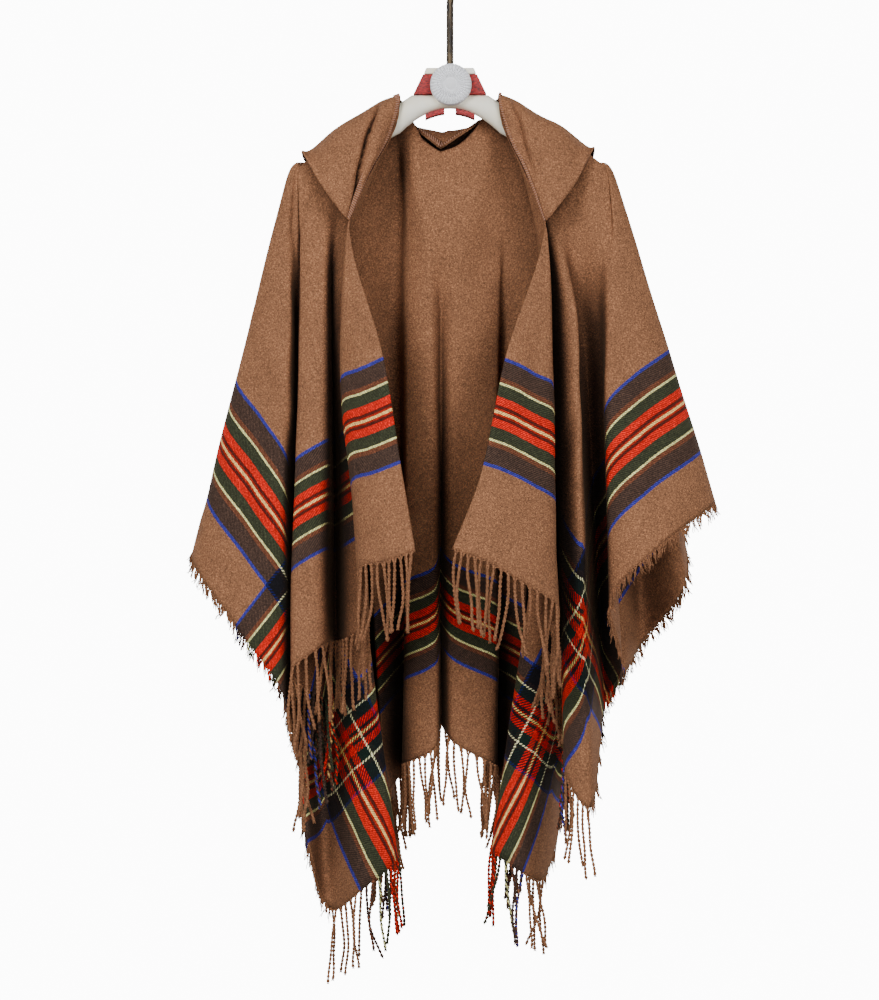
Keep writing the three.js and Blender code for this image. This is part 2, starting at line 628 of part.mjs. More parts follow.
function hoodPanel(half) {
  const net = [seamLine(half), ...half.hood];
  const rowKnots = net.map((_, i) => i);
  const seamKnots = net[0].map((_, i) => i);
  const across = (net[0].length - 1) * HOOD_PARTS.seam;
  const upward = (net.length - 1) * HOOD_PARTS.height;
  const grid = [];
  for (let i = 0; i <= across; i += 1) {
    const column = [];
    for (let j = 0; j <= upward; j += 1) {
      const axis = (k) => {
        const at = i / HOOD_PARTS.seam;
        const rows = net.map((row) => through(seamKnots, row.map((place) => place[k]), at));
        return through(rowKnots, rows, j / HOOD_PARTS.height);
      };
      column.push(new THREE.Vector3(axis(0), axis(1), NECK_Z + axis(2)));
    }
    grid.push(column);
  }
  const normals = gridNormals(grid);
  normals.forEach((column, i) => column.forEach((normal, j) => {
    if (i === across || j === upward) normal.setX(0).normalize();
  }));
  return wall(grid, normals);
}

// ---------------------------------------------------------------- hanger

const HUB_BOTTOM = 10;             // heights above the neck level
const HUB_TOP = 35;
const CAP_TOP = 43;
const HUB_BOTTOM_X = 46;           // half widths
const HUB_TOP_X = 34;
const ARCH_TOP = -7;
const ARCH_STATIONS = [0, 7, 13, 19, 25, 31, 39, 46, 54, 63];
const ARM_STATIONS = [76, 100, 130, 160, 178, 185, 188];

// A shape in the plane of the hanger, given depth front to back with softened edges.
function slab(shape, depth, bevel, bevelSegments = 2) {
  const geometry = new THREE.ExtrudeGeometry(shape, {
    depth: depth - 2 * bevel,
    bevelEnabled: bevel > 0,
    bevelThickness: bevel,
    bevelSize: bevel,
    bevelOffset: -bevel,
    bevelSegments,
    steps: 1,
  });
  geometry.translate(0, 0, bevel - depth / 2);
  geometry.rotateX(Math.PI / 2);
  return geometry;
}

function outline(points) {
  const shape = new THREE.Shape();
  points.forEach(([x, up], i) => (i === 0 ? shape.moveTo(x, up) : shape.lineTo(x, up)));
  shape.closePath();
  return shape;
}

function archBottom(x) {
  return ARCH_TOP - (ARM_HEIGHT + ARCH_TOP) * (x / ARM_NECK_X) ** 2;
}

// The two arms and the arch between them, one piece: rounded sections from tip to tip.
function hangerArms() {
  const sides = 12;
  const stations = [...ARCH_STATIONS, ...ARM_STATIONS];
  const across = [...stations.slice(1).reverse().map((x) => -x), ...stations];
  const positions = [];
  for (const x of across) {
    const out = Math.max(0, (Math.abs(x) - ARM_NECK_X) / (ARM_TIP_X - ARM_NECK_X));
    const top = Math.min(HUB_BOTTOM, -ARM_SLOPE * (Math.abs(x) - ARM_NECK_X));
    const tipBottom = -ARM_SLOPE * (ARM_TIP_X - ARM_NECK_X) - ARM_TIP_HEIGHT;
    const bottom = out > 0 ? -ARM_HEIGHT + out * (ARM_HEIGHT + tipBottom) : archBottom(x);
    const end = ARM_TIP_X - Math.abs(x);
    const shrink = end < 1 ? 0.5 : Math.min(1, 0.86 + end / 70);
    for (let k = 0; k < sides; k += 1) {
      const angle = (2 * Math.PI * k) / sides;
      const square = Math.abs(x) < HUB_BOTTOM_X || Math.sin(angle) < 0 ? 0.6 : 1;
      const round = (value) => Math.sign(value) * Math.abs(value) ** square;
      const y = (ARM_DEPTH / 2) * (1 - 0.3 * out) * round(Math.cos(angle));
      const up = ((top - bottom) / 2) * round(Math.sin(angle));
      positions.push(x, shrink * y, (top + bottom) / 2 + shrink * up);
    }
  }
  const index = [];
  for (let i = 0; i < across.length - 1; i += 1) {
    for (let k = 0; k < sides; k += 1) {
      const [a, b] = [i * sides + k, i * sides + ((k + 1) % sides)];
      index.push(a, a + sides, b + sides, a, b + sides, b);
    }
  }
  const last = (across.length - 1) * sides;
  for (let k = 1; k < sides - 1; k += 1) index.push(0, k, k + 1, last, last + k + 1, last + k);
  return closed(positions, index);
}

// The red block on the arch, under the cap.
function hangerBlock() {
  return slab(outline([
    [-HUB_BOTTOM_X, HUB_BOTTOM + SEAM_GAP],
    [HUB_BOTTOM_X, HUB_BOTTOM + SEAM_GAP],
    [HUB_TOP_X, HUB_TOP],
    [-HUB_TOP_X, HUB_TOP],
  ]), ARM_DEPTH - 4, 1);
}

function hangerCap() {
  return slab(outline([
    [-HUB_TOP_X + 1, HUB_TOP + SEAM_GAP],
    [HUB_TOP_X - 1, HUB_TOP + SEAM_GAP],
    [HUB_TOP_X - 4, CAP_TOP],
    [-HUB_TOP_X + 4, CAP_TOP],
  ]), ARM_DEPTH, 2);
}

// A red lining strip under one side of the arch.
function archLining(side) {
  const points = ARCH_STATIONS.slice(1, 6).map((x) => [side * x, 0]);
  const top = points.map(([x]) => [x, archBottom(x) - 2 * SEAM_GAP]);
  const bottom = points.map(([x]) => [x, archBottom(x) - 6]).reverse();
  return slab(outline([...top, ...bottom]), ARM_DEPTH - 6, 0);
}

// The rod: straight up from the cap, then bent aside and over into an open hook.
function hook() {
  const radius = HOOK_INSIDE + ROD / 2;
  const centre = -HOOK_INSIDE;
  const path = new THREE.CurvePath();
  const foot = new THREE.Vector3(0, 0, NECK_Z + CAP_TOP + SEAM_GAP);
  const bend = new THREE.Vector3(0, 0, centre - 52);
  path.add(new THREE.LineCurve3(foot, bend));
  path.add(new THREE.CubicBezierCurve3(
    bend,
    new THREE.Vector3(0, 0, centre - 28),
    new THREE.Vector3(radius, 0, centre - 28),
    new THREE.Vector3(radius, 0, centre),
  ));
  const over = [];
  for (let i = 1; i <= 12; i += 1) {
    const angle = (Math.PI * 1.12 * i) / 12;
    over.push(new THREE.Vector3(radius * Math.cos(angle), 0, centre + radius * Math.sin(angle)));
  }
  over.unshift(new THREE.Vector3(radius, 0, centre));
  path.add(new THREE.CatmullRomCurve3(over));
  const section = new THREE.Shape();
  section.absarc(0, 0, ROD / 2, 0, 2 * Math.PI);
  return new THREE.ExtrudeGeometry(section, {
    steps: 34,
    curveSegments: 4,
    bevelEnabled: false,
    extrudePath: path,
  });
}

// ---------------------------------------------------------------- rosette

const ROSETTE = { x: 1, up: 21, radius: 26, pleats: 20, depth: 11 };

// A round ribbon rosette of even pleats, flat behind.
function rosette() {
  const around = ROSETTE.pleats * 2;
  const rings = [
    { radius: 8, depth: 8, pleat: 0 },
    { radius: 15, depth: ROSETTE.depth, pleat: 2.4 },
    { radius: 22, depth: ROSETTE.depth - 2, pleat: 3.2 },
    { radius: ROSETTE.radius, depth: 5, pleat: 2 },
  ];
  const back = -(ARM_DEPTH / 2 + SEAM_GAP);
  const positions = [0, back - rings[0].depth, 0];
  for (const ring of rings) {
    for (let i = 0; i < around; i += 1) {
      const angle = (2 * Math.PI * i) / around;
      const depth = ring.depth + ring.pleat * (i % 2 ? -0.5 : 0.5);
      positions.push(ring.radius * Math.cos(angle), back - depth, ring.radius * Math.sin(angle));
    }
  }
  for (let i = 0; i < around; i += 1) {
    const angle = (2 * Math.PI * i) / around;
    positions.push(ROSETTE.radius * Math.cos(angle), back, ROSETTE.radius * Math.sin(angle));
  }
  positions.push(0, back, 0);
  const index = [];
  const at = (ring, i) => 1 + ring * around + (i % around);
  for (let i = 0; i < around; i += 1) {
    index.push(0, at(0, i), at(0, i + 1));
    for (let ring = 0; ring < rings.length; ring += 1) {
      index.push(at(ring, i), at(ring + 1, i), at(ring + 1, i + 1));
      index.push(at(ring, i), at(ring + 1, i + 1), at(ring, i + 1));
    }
    index.push(at(rings.length, i + 1), at(rings.length, i), 1 + (rings.length + 1) * around);
  }
  return closed(positions, index);
}

function rosetteButton() {
  const profile = [[0, 0], [6.5, 0], [7, 1.5], [5.5, 3.5], [3, 4.6], [0, 5]];
  const geometry = new THREE.LatheGeometry(profile.map(([r, h]) => new THREE.Vector2(r, h)), 20);
  geometry.rotateX(Math.PI);
  return geometry;
}

// ---------------------------------------------------------------- assembly

const poncho = new THREE.Group();
poncho.name = 'hooded_poncho';

function addPiece(name, geometry, finish, x = 0, y = 0, z = 0) {
  const mesh = new THREE.Mesh(geometry, new THREE.MeshStandardMaterial(FINISH[finish]));
  mesh.name = name;
  mesh.position.set(x, y, z);
  poncho.add(mesh);
}

const PARTING = 0.3;               // half the clear space along the shoulder line

// A stretch of the body cloth, parted from its neighbours along the shoulder line, and the fringe
// below its hem. `from` and `to` are its first and last columns, `shift` is towards its own side.
function addStretch(name, from, to, shift) {
  const grid = body.slice(from, to + 1).map((column) => column.map(({ point }) => point.clone()));
  const normals = bodyNormals.slice(from, to + 1);
  grid.forEach((column, i) => {
    if (isOnArm(body[from + i])) column[0].y += shift * PARTING;
  });
  const part = (end, inside) => grid[end].forEach((p, level) => {
    if (level === 0) return;
    const inwards = new THREE.Vector3().subVectors(grid[inside][level], p);
    inwards.addScaledVector(normals[end][level], -inwards.dot(normals[end][level])).normalize();
    p.addScaledVector(inwards, PARTING);
  });
  if (from > 0) part(0, 1);
  if (to < body.length - 1) part(grid.length - 1, grid.length - 2);
  addPiece(name, wall(grid, normals), 'wool');

  const length = shift < 0 ? FRONT_LENGTH : BACK_LENGTH;
  const hemColumns = [];
  grid.forEach((column, i) => {
    const { flat } = body[from + i][column.length - 1];
    if (Math.abs(flat[1]) > length - 0.5) hemColumns.push(i);
  });
  addPiece(`fringe_${name}`, fringe(grid, normals, hemColumns), 'fringe');
}

const leftFront = hang(LEFT.front, LEFT);
const rightFront = hang(RIGHT.front, RIGHT);
const leftBack = hang(LEFT.back, LEFT);
const rightBack = hang(RIGHT.back, RIGHT);

// The whole body cloth, from the left slit edge round to the right one.
const body = [
  ...leftFront,
  ...leftBack.slice(1),
  ...rightBack.slice().reverse().slice(1),
  ...rightFront.slice().reverse().slice(1),
];
const isOnArm = (column) => column[0].point.y === 0;
const bodyNormals = gridNormals(body.map((column) => column.map(({ point }) => point)));
bodyNormals.forEach((column, i) => {
  if (isOnArm(body[i])) column[0].set(0, 0, 1);
});
const leftShoulder = leftFront.length - 1;
const rightShoulder = leftShoulder + leftBack.length - 1 + rightBack.length - 1;

addStretch('front_left', 0, leftShoulder, -1);
addStretch('back', leftShoulder, rightShoulder, 1);
addStretch('front_right', rightShoulder, body.length - 1, -1);
addPiece('hood_left', hoodPanel(LEFT), 'wool');
addPiece('hood_right', hoodPanel(RIGHT), 'wool');

addPiece('hanger_arms', hangerArms(), 'cream', 0, 0, NECK_Z);
addPiece('hanger_block', hangerBlock(), 'red', 0, 0, NECK_Z);
addPiece('hanger_cap', hangerCap(), 'cream', 0, 0, NECK_Z);
addPiece('hanger_lining_left', archLining(-1), 'red', 0, 0, NECK_Z);
addPiece('hanger_lining_right', archLining(1), 'red', 0, 0, NECK_Z);
addPiece('hook', hook(), 'iron');
addPiece('rosette', rosette(), 'white', ROSETTE.x, 0, NECK_Z + ROSETTE.up);
addPiece('rosette_button', rosetteButton(), 'white', ROSETTE.x,
  -(ARM_DEPTH / 2 + SEAM_GAP + 8 + SEAM_GAP), NECK_Z + ROSETTE.up);

export default poncho;
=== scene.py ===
"""Hooded poncho of napped wool twill, hung open on a plain hanger.

The body is one woven rectangle with a slit up its front. Places on it are (s, t) in millimetres: s
from the slit out to a side edge, below zero on the left, and t from the shoulder line down the
front, or down the back where it is below zero.
"""

import math
import random
from collections import namedtuple

import bmesh
import bpy
import numpy as np
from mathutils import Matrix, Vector


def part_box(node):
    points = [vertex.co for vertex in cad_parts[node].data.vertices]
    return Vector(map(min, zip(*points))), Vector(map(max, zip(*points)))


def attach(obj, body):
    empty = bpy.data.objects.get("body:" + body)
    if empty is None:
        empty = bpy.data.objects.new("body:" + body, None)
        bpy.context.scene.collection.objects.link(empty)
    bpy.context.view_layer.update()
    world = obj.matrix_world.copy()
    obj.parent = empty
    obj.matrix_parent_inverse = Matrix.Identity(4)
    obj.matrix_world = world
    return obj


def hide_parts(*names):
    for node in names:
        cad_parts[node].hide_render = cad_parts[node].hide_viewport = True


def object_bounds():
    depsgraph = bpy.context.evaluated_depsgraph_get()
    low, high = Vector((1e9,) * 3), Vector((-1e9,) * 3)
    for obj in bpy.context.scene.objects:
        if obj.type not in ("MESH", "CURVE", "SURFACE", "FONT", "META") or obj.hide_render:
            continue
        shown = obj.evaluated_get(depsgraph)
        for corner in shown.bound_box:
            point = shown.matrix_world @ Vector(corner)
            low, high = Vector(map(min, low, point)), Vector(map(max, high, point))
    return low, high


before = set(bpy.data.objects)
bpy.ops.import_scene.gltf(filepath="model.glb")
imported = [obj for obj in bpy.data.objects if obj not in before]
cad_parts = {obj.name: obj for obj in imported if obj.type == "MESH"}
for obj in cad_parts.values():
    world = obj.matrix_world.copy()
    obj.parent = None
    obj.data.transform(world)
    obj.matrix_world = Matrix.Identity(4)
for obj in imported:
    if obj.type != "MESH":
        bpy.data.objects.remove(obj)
cad_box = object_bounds()
MM = 0.001

# ---------------------------------------------------------------- sizes, in millimetres

HALF_WIDTH = 610          # slit to side edge, frayed tips included
FRONT_LENGTH = 600        # shoulder line to front hem
BACK_LENGTH = 860         # shoulder line to back hem
NECK_FRONT = 185          # slit sewn to the hood below the shoulder line
CLOTH = 2.0
FRAY = 12                 # unravelled edge along both sides

FRINGE_LENGTH = 98
FRINGE_PITCH = 10.5
PLY = 1.25                # radius of one of the two plies of a strand
TWIST = 11                # height in which a strand turns once
FRAY_PITCH = 1.05
FRAY_BUNCH = 7            # loose ends that lean together
STITCH_PITCH = 3.1
THREAD = 0.5              # radius of the overlock thread

NECK_Z = -200             # top of the arms, where they leave the arch
ARM_NECK_X = 63
ARM_TIP_X = 188
ARM_SLOPE = 0.67
ARM_DEPTH = 22
ARM_HEIGHT = 38
ARM_TIP_HEIGHT = 20
ARCH_TOP = 10             # top of the arch over NECK_Z
ARCH_BOTTOM = 7           # its underside in the middle, below NECK_Z
LINING_FROM, LINING_TO, LINING_STEP = 7, 31, 3
LINING_HEIGHT = 6
LINING_GAP = 0.6
BLOCK_WIDTH, BLOCK_TOP_WIDTH = 46, 34
CAP_DRAWN_IN = 3          # how much narrower the cap's top is on each side
SLEEVE_RIBS = 22
CHANNEL_DEPTH = 0.93      # share of the sleeve's depth left in the channels between the ribs

ROD = 4.5                 # radius of the hook's rod
HOOK_INSIDE = 20
STEM_FOOT = NECK_Z + 43.3
STEM_TOP = -76
STEM_BEND = 32            # radius of the two bends that lead the stem aside
PLEATS = 36
PLEAT_HEIGHT = 3.2

SHOULDER = 160            # cloth from the neck to the end of the shoulder
SHOULDER_X = ARM_TIP_X - 5
WRAP = ARM_DEPTH / 2 + 4.5  # how far the cloth stands off the middle of an arm
OVER_ARM = 4.6            # height of the cloth's middle over the arm
SEAM_STEP = CLOTH + 1.5   # from the body cloth to the hood's side of the neck seam

# How finely the body cloth is worked out, and shares of a fold line's length.
COLUMN = 11.0             # widest column of faces of the body cloth, in millimetres
NECK_COLUMN = 6           # widest one round the back of the neck
LEVELS = 92               # rows of faces from the hanger to the edge
STEPS = 240               # steps in which a fold line is worked out
SAME_PLACE = 0.5          # points of two fold lines this close together are one point
OFF_ARM = 0.06            # where a line along the slit has just left the arm
MID_SEAM = 0.19           # where it is half way down the neck seam
CORNER_SHARE = 0.3        # where it passes the hood's corner
EASE = 0.14               # where any other line still heads between its neighbours
OPENED = 2.6 * EASE       # from where it heads for its own end
FREE = 0.6                # a line with no bend above this share is led through OPENED too

# ---------------------------------------------------------------- folds
#
# Each Fold is one fold line of the body cloth, from the hanger down to the edge of the rectangle.
#   s, t    where it meets the edge of the flat rectangle
#   start   where it leaves the hanger: mm from the neck out along the shoulder, below zero along
#           the back of the neck; CORNER is the lower corner of the hood's seam
#   x, y    where its lower end hangs
#   give    how much the loose weave lengthens along it
#   bends   places on the way: share of its length, x, y
#   ways    places on the way that also bend on the flat cloth: s, t, x, y
#   outer   whether it shapes the outline seen from the front

CORNER = "corner"
Fold = namedtuple("Fold", "s t start x y give bends ways outer", defaults=(1, (), (), False))
Half = namedtuple("Half", "side corner lift front back neck hood")

LEFT_FRONT = [
    Fold(0, 600, CORNER, -42, -160, give=1.04,
         ways=[(0, 364, -82, -105), (0, 508, -58, -140)]),
    Fold(54, 600, CORNER, -77, -150, give=1.035,
         ways=[(38, 364, -108, -95), (46, 508, -87, -130)]),
    Fold(112, 600, CORNER, -112, -115, give=1.01,
         ways=[(80, 364, -135, -72), (98, 508, -120, -98)]),
    Fold(170, 600, 45, -100, -62, give=1.06, bends=[(0.3, -130, -14), (0.65, -112, -36)]),
    Fold(205, 600, 75, -128, -22, give=1.06, bends=[(0.3, -140, -4), (0.65, -134, -12)]),
    Fold(250, 600, 100, -145, 14, give=1.04, bends=[(0.3, -146, 4), (0.65, -146, 16)]),
    Fold(290, 600, 120, -157, -46, give=1.015,
         ways=[(200, 364, -151, -44), (245, 508, -156, -45)]),
    Fold(338, 600, 160, -197, -47, give=1.025,
         ways=[(235, 364, -189, -42), (285, 508, -196, -45)]),
    Fold(476, 600, 160, -149, 43, give=1.03, bends=[(0.3, -176, 2)]),
    Fold(500, 600, 160, -159, 54, give=1.03, bends=[(0.3, -180, 5)]),
    Fold(552, 600, 160, -184, -2, give=1.035, bends=[(0.3, -184, 5)]),
    Fold(610, 600, 160, -192, 44, give=1.04, bends=[(0.3, -188, 3)]),
    Fold(610, 490, 160, -209, -40, give=1.03, bends=[(0.3, -192, -22), (0.65, -203, -36)]),
    Fold(610, 377, 160, -265, -50, give=1.04, outer=True),
    Fold(610, 235, 160, -327, 0, give=1.045, outer=True),
    Fold(610, 110, 160, -264, 64, give=1.03),
    Fold(610, 0, 160, -298, 122, give=1.02),
]
LEFT_BACK = [
    Fold(610, 0, 160, -298, 122, give=1.02),
    Fold(610, -110, 160, -252, 84, give=1.02),
    Fold(610, -230, 160, -277, 190, give=1.02),
    Fold(610, -340, 160, -236, 108, give=1.03),
    Fold(610, -440, 160, -238, 205, give=1.04),
    Fold(610, -540, 160, -213, 130, give=1.05),
    Fold(610, -619, 160, -196, 172, give=1.04),
    Fold(610, -740, 160, -188, 90, give=1.01),
    Fold(610, -860, 160, -156, 125, give=1.016),
    Fold(530, -860, 160, -110, 62),
    Fold(465, -860, 155, -68, 62, give=0.99),
    Fold(370, -860, 140, -98, 135),
    Fold(300, -860, 115, -70, 185),
    Fold(235, -860, 85, -86, 130),
    Fold(165, -860, 45, -56, 168, bends=[(0.12, -66, 36), (0.3, -68, 60)]),
    Fold(100, -860, 0, -60, 104, bends=[(0.12, -54, 18), (0.3, -50, 25)]),
    Fold(32, -860, -60, -19, 70, give=0.975, bends=[(0.3, -24, 26)]),
    Fold(0, -860, -90, -12, 103, give=0.965, bends=[(0.3, -12, 42)]),
]
LEFT_NECK = [
    (-90, -12, 31, -57),
    (-64, -30, 29, -45),
    (-36, -50, 24, -25),
    (-17, -61.5, 16.8, 0),
    (0, -63, 0, OVER_ARM),
]
LEFT_HOOD = [
    [(-138, -52, -140), (-126, -47, -94), (-110, -38, -50), (-98, -26, -19),
     (-90, 0, 0), (-80, 24, -3), (-58, 37, -20), (-10.5, 45, -31)],
    [(-163, -38, -104), (-155, -30, -68), (-142, -16, -38), (-128, -4, -24),
     (-114, 20, -16), (-98, 36, -20), (-66, 50, -34), (-8.5, 56, -44)],
    [(-185, -16, -63), (-181, 8, -60), (-172, 20, -56), (-158, 31, -48),
     (-136, 43, -43), (-112, 52, -45), (-70, 62, -54), (-6.5, 67, -66)],
    [(-180, 34, -74), (-172, 39, -71), (-162, 43, -70), (-148, 47, -70),
     (-128, 51, -74), (-104, 56, -82), (-62, 62, -94), (-5.5, 67, -110)],
    [(-150, 74, -72), (-149, 72, -94), (-141, 69, -114), (-125, 66, -136),
     (-101, 64, -154), (-75, 65, -168), (-40, 66, -176), (-3.5, 67, -178)],
    [(-0.4, 96, -20), (-0.4, 106, -60), (-0.4, 110, -95), (-0.4, 111, -128),
     (-0.4, 109, -165), (-0.4, 104, -198), (-0.4, 96, -234), (-0.4, 86, -268)],
]
RIGHT_FRONT = [
    Fold(0, 600, CORNER, 2, -160, give=1.05,
         ways=[(0, 364, 67, -105), (0, 508, 36, -140)]),
    Fold(56, 600, CORNER, 42, -152, give=1.045,
         ways=[(20, 364, 86, -98), (36, 508, 66, -132)]),
    Fold(114, 600, CORNER, 88, -136, give=1.05,
         ways=[(42, 364, 106, -88), (74, 508, 98, -118)]),
    Fold(168, 600, CORNER, 131, -104, give=1.06,
         ways=[(62, 364, 126, -74), (112, 508, 128, -95)]),
    Fold(280, 600, 30, 117, -12, give=1.04, bends=[(0.3, 110, -14), (0.65, 114, -13)]),
    Fold(405, 600, 45, 152, 42, give=1.05),
    Fold(535, 600, 58, 143, -20, give=1.07, bends=[(0.3, 131, -26), (0.65, 136, -24)]),
    Fold(610, 600, 70, 174, -36, give=1.085, bends=[(0.3, 150, -36), (0.65, 160, -40)]),
    Fold(610, 517, 90, 190, 6, give=1.07),
    Fold(610, 450, 110, 198, 46, give=1.075),
    Fold(610, 386, 130, 218, 8, give=1.08),
    Fold(610, 275, 160, 200, -42, give=1.06, bends=[(0.3, 189, -22), (0.65, 191, -36)]),
    Fold(610, 170, 160, 255, -60, give=1.05, outer=True),
    Fold(610, 50, 160, 335, -5, give=1.04, outer=True),
    Fold(610, 0, 160, 334, 45, give=1.04),
]
RIGHT_BACK = [
    Fold(610, 0, 160, 334, 45, give=1.04),
    Fold(610, -110, 160, 331, 135, give=1.03),
    Fold(610, -215, 160, 312, 206, give=1.02),
    Fold(610, -350, 160, 306, 92, give=1.03),
    Fold(610, -470, 160, 258, 160, give=1.03),
    Fold(610, -530, 160, 228, 108),
    Fold(610, -625, 160, 180, 104),
    Fold(610, -740, 160, 156, 168),
    Fold(610, -860, 160, 123, 104, give=0.99),
    Fold(530, -860, 160, 90, 62),
    Fold(465, -860, 155, 54, 74),
    Fold(370, -860, 140, 98, 128),
    Fold(300, -860, 115, 70, 182),
    Fold(235, -860, 85, 86, 126),
    Fold(165, -860, 45, 46, 160, bends=[(0.3, 66, 46)]),
    Fold(97, -860, 0, 60, 98, bends=[(0.3, 58, 30)]),
    Fold(32, -860, -60, 6, 76, give=0.97, bends=[(0.3, 8, 28)]),
    Fold(0, -860, -90, -12, 103, give=0.965, bends=[(0.3, -12, 42)]),
]
RIGHT_NECK = [
    (-90, -12, 31, -57),
    (-70, 10, 30, -49),
    (-44, 34, 25, -28),
    (-19, 57, 16, -3),
    (0, 61, 0, OVER_ARM),
]
RIGHT_HOOD = [
    [(131, -52, -140), (121, -47, -94), (107, -38, -50), (96, -26, -19),
     (88, 0, 0), (77, 24, -3), (52, 37, -20), (-9.5, 45, -31)],
    [(157, -38, -104), (150, -32, -61), (138, -17, -34), (126, -4, -23),
     (112, 20, -16), (96, 36, -20), (62, 50, -34), (-7.5, 56, -44)],
    [(180, -16, -58), (177, 8, -56), (169, 20, -54), (156, 31, -48),
     (135, 43, -43), (111, 52, -45), (68, 62, -54), (-5.5, 67, -66)],
    [(177, 34, -73), (170, 39, -70), (161, 43, -69), (147, 47, -70),
     (127, 51, -74), (103, 56, -82), (60, 62, -94), (-4.5, 67, -110)],
    [(149, 74, -72), (148, 72, -94), (140, 69, -114), (124, 66, -136),
     (100, 64, -154), (74, 65, -168), (38, 66, -176), (-2.5, 67, -178)],
    [(0.4, 96, -20), (0.4, 106, -60), (0.4, 110, -95), (0.4, 111, -128),
     (0.4, 109, -165), (0.4, 104, -198), (0.4, 96, -234), (0.4, 86, -268)],
]

LEFT = Half(-1, (-126, -45), 0, LEFT_FRONT, LEFT_BACK, LEFT_NECK, LEFT_HOOD)
RIGHT = Half(1, (118, -45), -22, RIGHT_FRONT, RIGHT_BACK, RIGHT_NECK, RIGHT_HOOD)

# Soft creases of the body cloth: s and t of one end, s and t of the other, half width, and height,
# above zero raised and below zero sunk.
CREASE_BOW = 6            # how far the middle of each stands aside
UNEVEN = 0.7              # faint swells of the whole cloth
CREASES = [
    (-70, 150, -95, 420, 9, 1.8), (-130, 120, -150, 520, 12, -2.0), (-35, 260, -60, 560, 8, -1.4),
    (-250, 60, -330, 330, 14, 2.4), (-330, 90, -430, 420, 12, -2.2), (-420, 40, -560, 210, 16, 2.6),
    (-380, -10, -580, 60, 13, -2.2), (-300, 200, -360, 560, 10, 1.8), (-470, 250, -540, 470, 15, -2.4),
    (-180, 330, -215, 590, 9, 1.4), (-520, 300, -590, 400, 10, 1.7), (-90, 470, -140, 590, 7, 1.2),
    (60, 140, 85, 470, 10, -1.8), (120, 200, 150, 560, 11, 2.0), (30, 300, 40, 580, 8, 1.3),
    (230, 90, 330, 380, 14, 2.3), (300, 30, 470, 260, 15, -2.3), (420, 60, 570, 150, 16, 2.4),
    (350, 250, 470, 520, 12, -1.9), (260, 300, 320, 590, 9, 1.5), (480, 300, 580, 420, 11, -1.6),
    (-45, -140, -60, -520, 10, 1.9), (45, -160, 70, -560, 11, -1.8), (-120, -90, -150, -640, 13, 2.1),
    (130, -100, 165, -600, 12, 1.9), (-10, -420, 12, -840, 9, 1.3), (-210, -120, -260, -700, 14, -2.1),
    (220, -110, 270, -690, 13, 2.2), (-330, -100, -470, -560, 15, 2.2), (340, -110, 480, -540, 14, -2.2),
    (-430, -60, -580, -300, 15, -2.3), (450, -40, 590, -260, 16, 2.3), (-90, -560, -110, -850, 8, -1.3),
    (95, -540, 80, -850, 9, 1.4), (-300, -600, -330, -850, 10, 1.7), (310, -610, 330, -850, 10, -1.7),
]

# ---------------------------------------------------------------- curves


def through(knots, values, at):
    """Smooth values at `at` through values given at rising knots."""
    knots = np.asarray(knots, float)
    values = np.asarray(values, float)
    at = np.atleast_1d(np.asarray(at, float))
    last = len(knots) - 1
    before = np.maximum(np.arange(last + 1) - 1, 0)
    after = np.minimum(np.arange(last + 1) + 1, last)
    wide = (1,) * (values.ndim - 1)
    slope = (values[after] - values[before]) / (knots[after] - knots[before]).reshape(-1, *wide)
    i = np.clip(np.searchsorted(knots, at, side="left") - 1, 0, last - 1)
    width = (knots[i + 1] - knots[i]).reshape(-1, *wide)
    u = ((at - knots[i]) / (knots[i + 1] - knots[i])).reshape(-1, *wide)
    v = 1 - u
    ends = values[i] * (1 + 2 * u) * v * v + values[i + 1] * (1 + 2 * v) * u * u
    return ends + width * u * v * (slope[i] * v - slope[i + 1] * u)


def arm_top(x):
    return NECK_Z - ARM_SLOPE * (abs(x) - ARM_NECK_X)


def support_point(half, start):
    """The point of the hanger or the neck that a fold line leaves from."""
    if start < 0:
        x, y, up = through([row[0] for row in half.neck], [row[1:] for row in half.neck], start)[0]
        return np.array([x, y, NECK_Z + up])
    neck_x = half.neck[-1][1]
    x = neck_x + start / SHOULDER * (half.side * SHOULDER_X - neck_x)
    return np.array([x, 0, arm_top(x) + OVER_ARM])


# ---------------------------------------------------------------- body cloth


def flat_route(row, half):
    """The flat route of a fold line: places (s, t) and the share of the line at each."""
    via_corner = row.start == CORNER
    start = 0 if via_corner else row.start
    places = [(start, half.lift * start / SHOULDER) if start >= 0 else (0, start)]
    if via_corner:
        places.append((0, NECK_FRONT))
    places += [(s, t) for s, t, _, _ in row.ways]
    places.append((row.s, row.t))
    run = [0]
    for (s, t), (next_s, next_t) in zip(places, places[1:]):
        run.append(run[-1] + math.hypot(next_s - s, next_t - t))
    if not via_corner:
        return places, [length / run[-1] for length in run]
    below = (1 - CORNER_SHARE) / (run[-1] - NECK_FRONT)
    return places, [CORNER_SHARE * length / NECK_FRONT if length <= NECK_FRONT
                    else CORNER_SHARE + below * (length - NECK_FRONT) for length in run]


def eased(row, half):
    """Near the hanger a fold line heads for a place between its neighbours'."""
    is_front = row in half.front
    rows = [*half.front, *half.back[1:]] if is_front else [*half.front[:-1], *half.back]
    middle = rows.index(row)
    near = [(weight, rows[min(max(middle + k, 0), len(rows) - 1)])
            for weight, k in ((1, -2), (2, -1), (3, 0), (2, 1), (1, 2))]
    whole = sum(weight for weight, _ in near)
    return [sum(weight * getattr(other, key) for weight, other in near) / whole for key in "xy"]


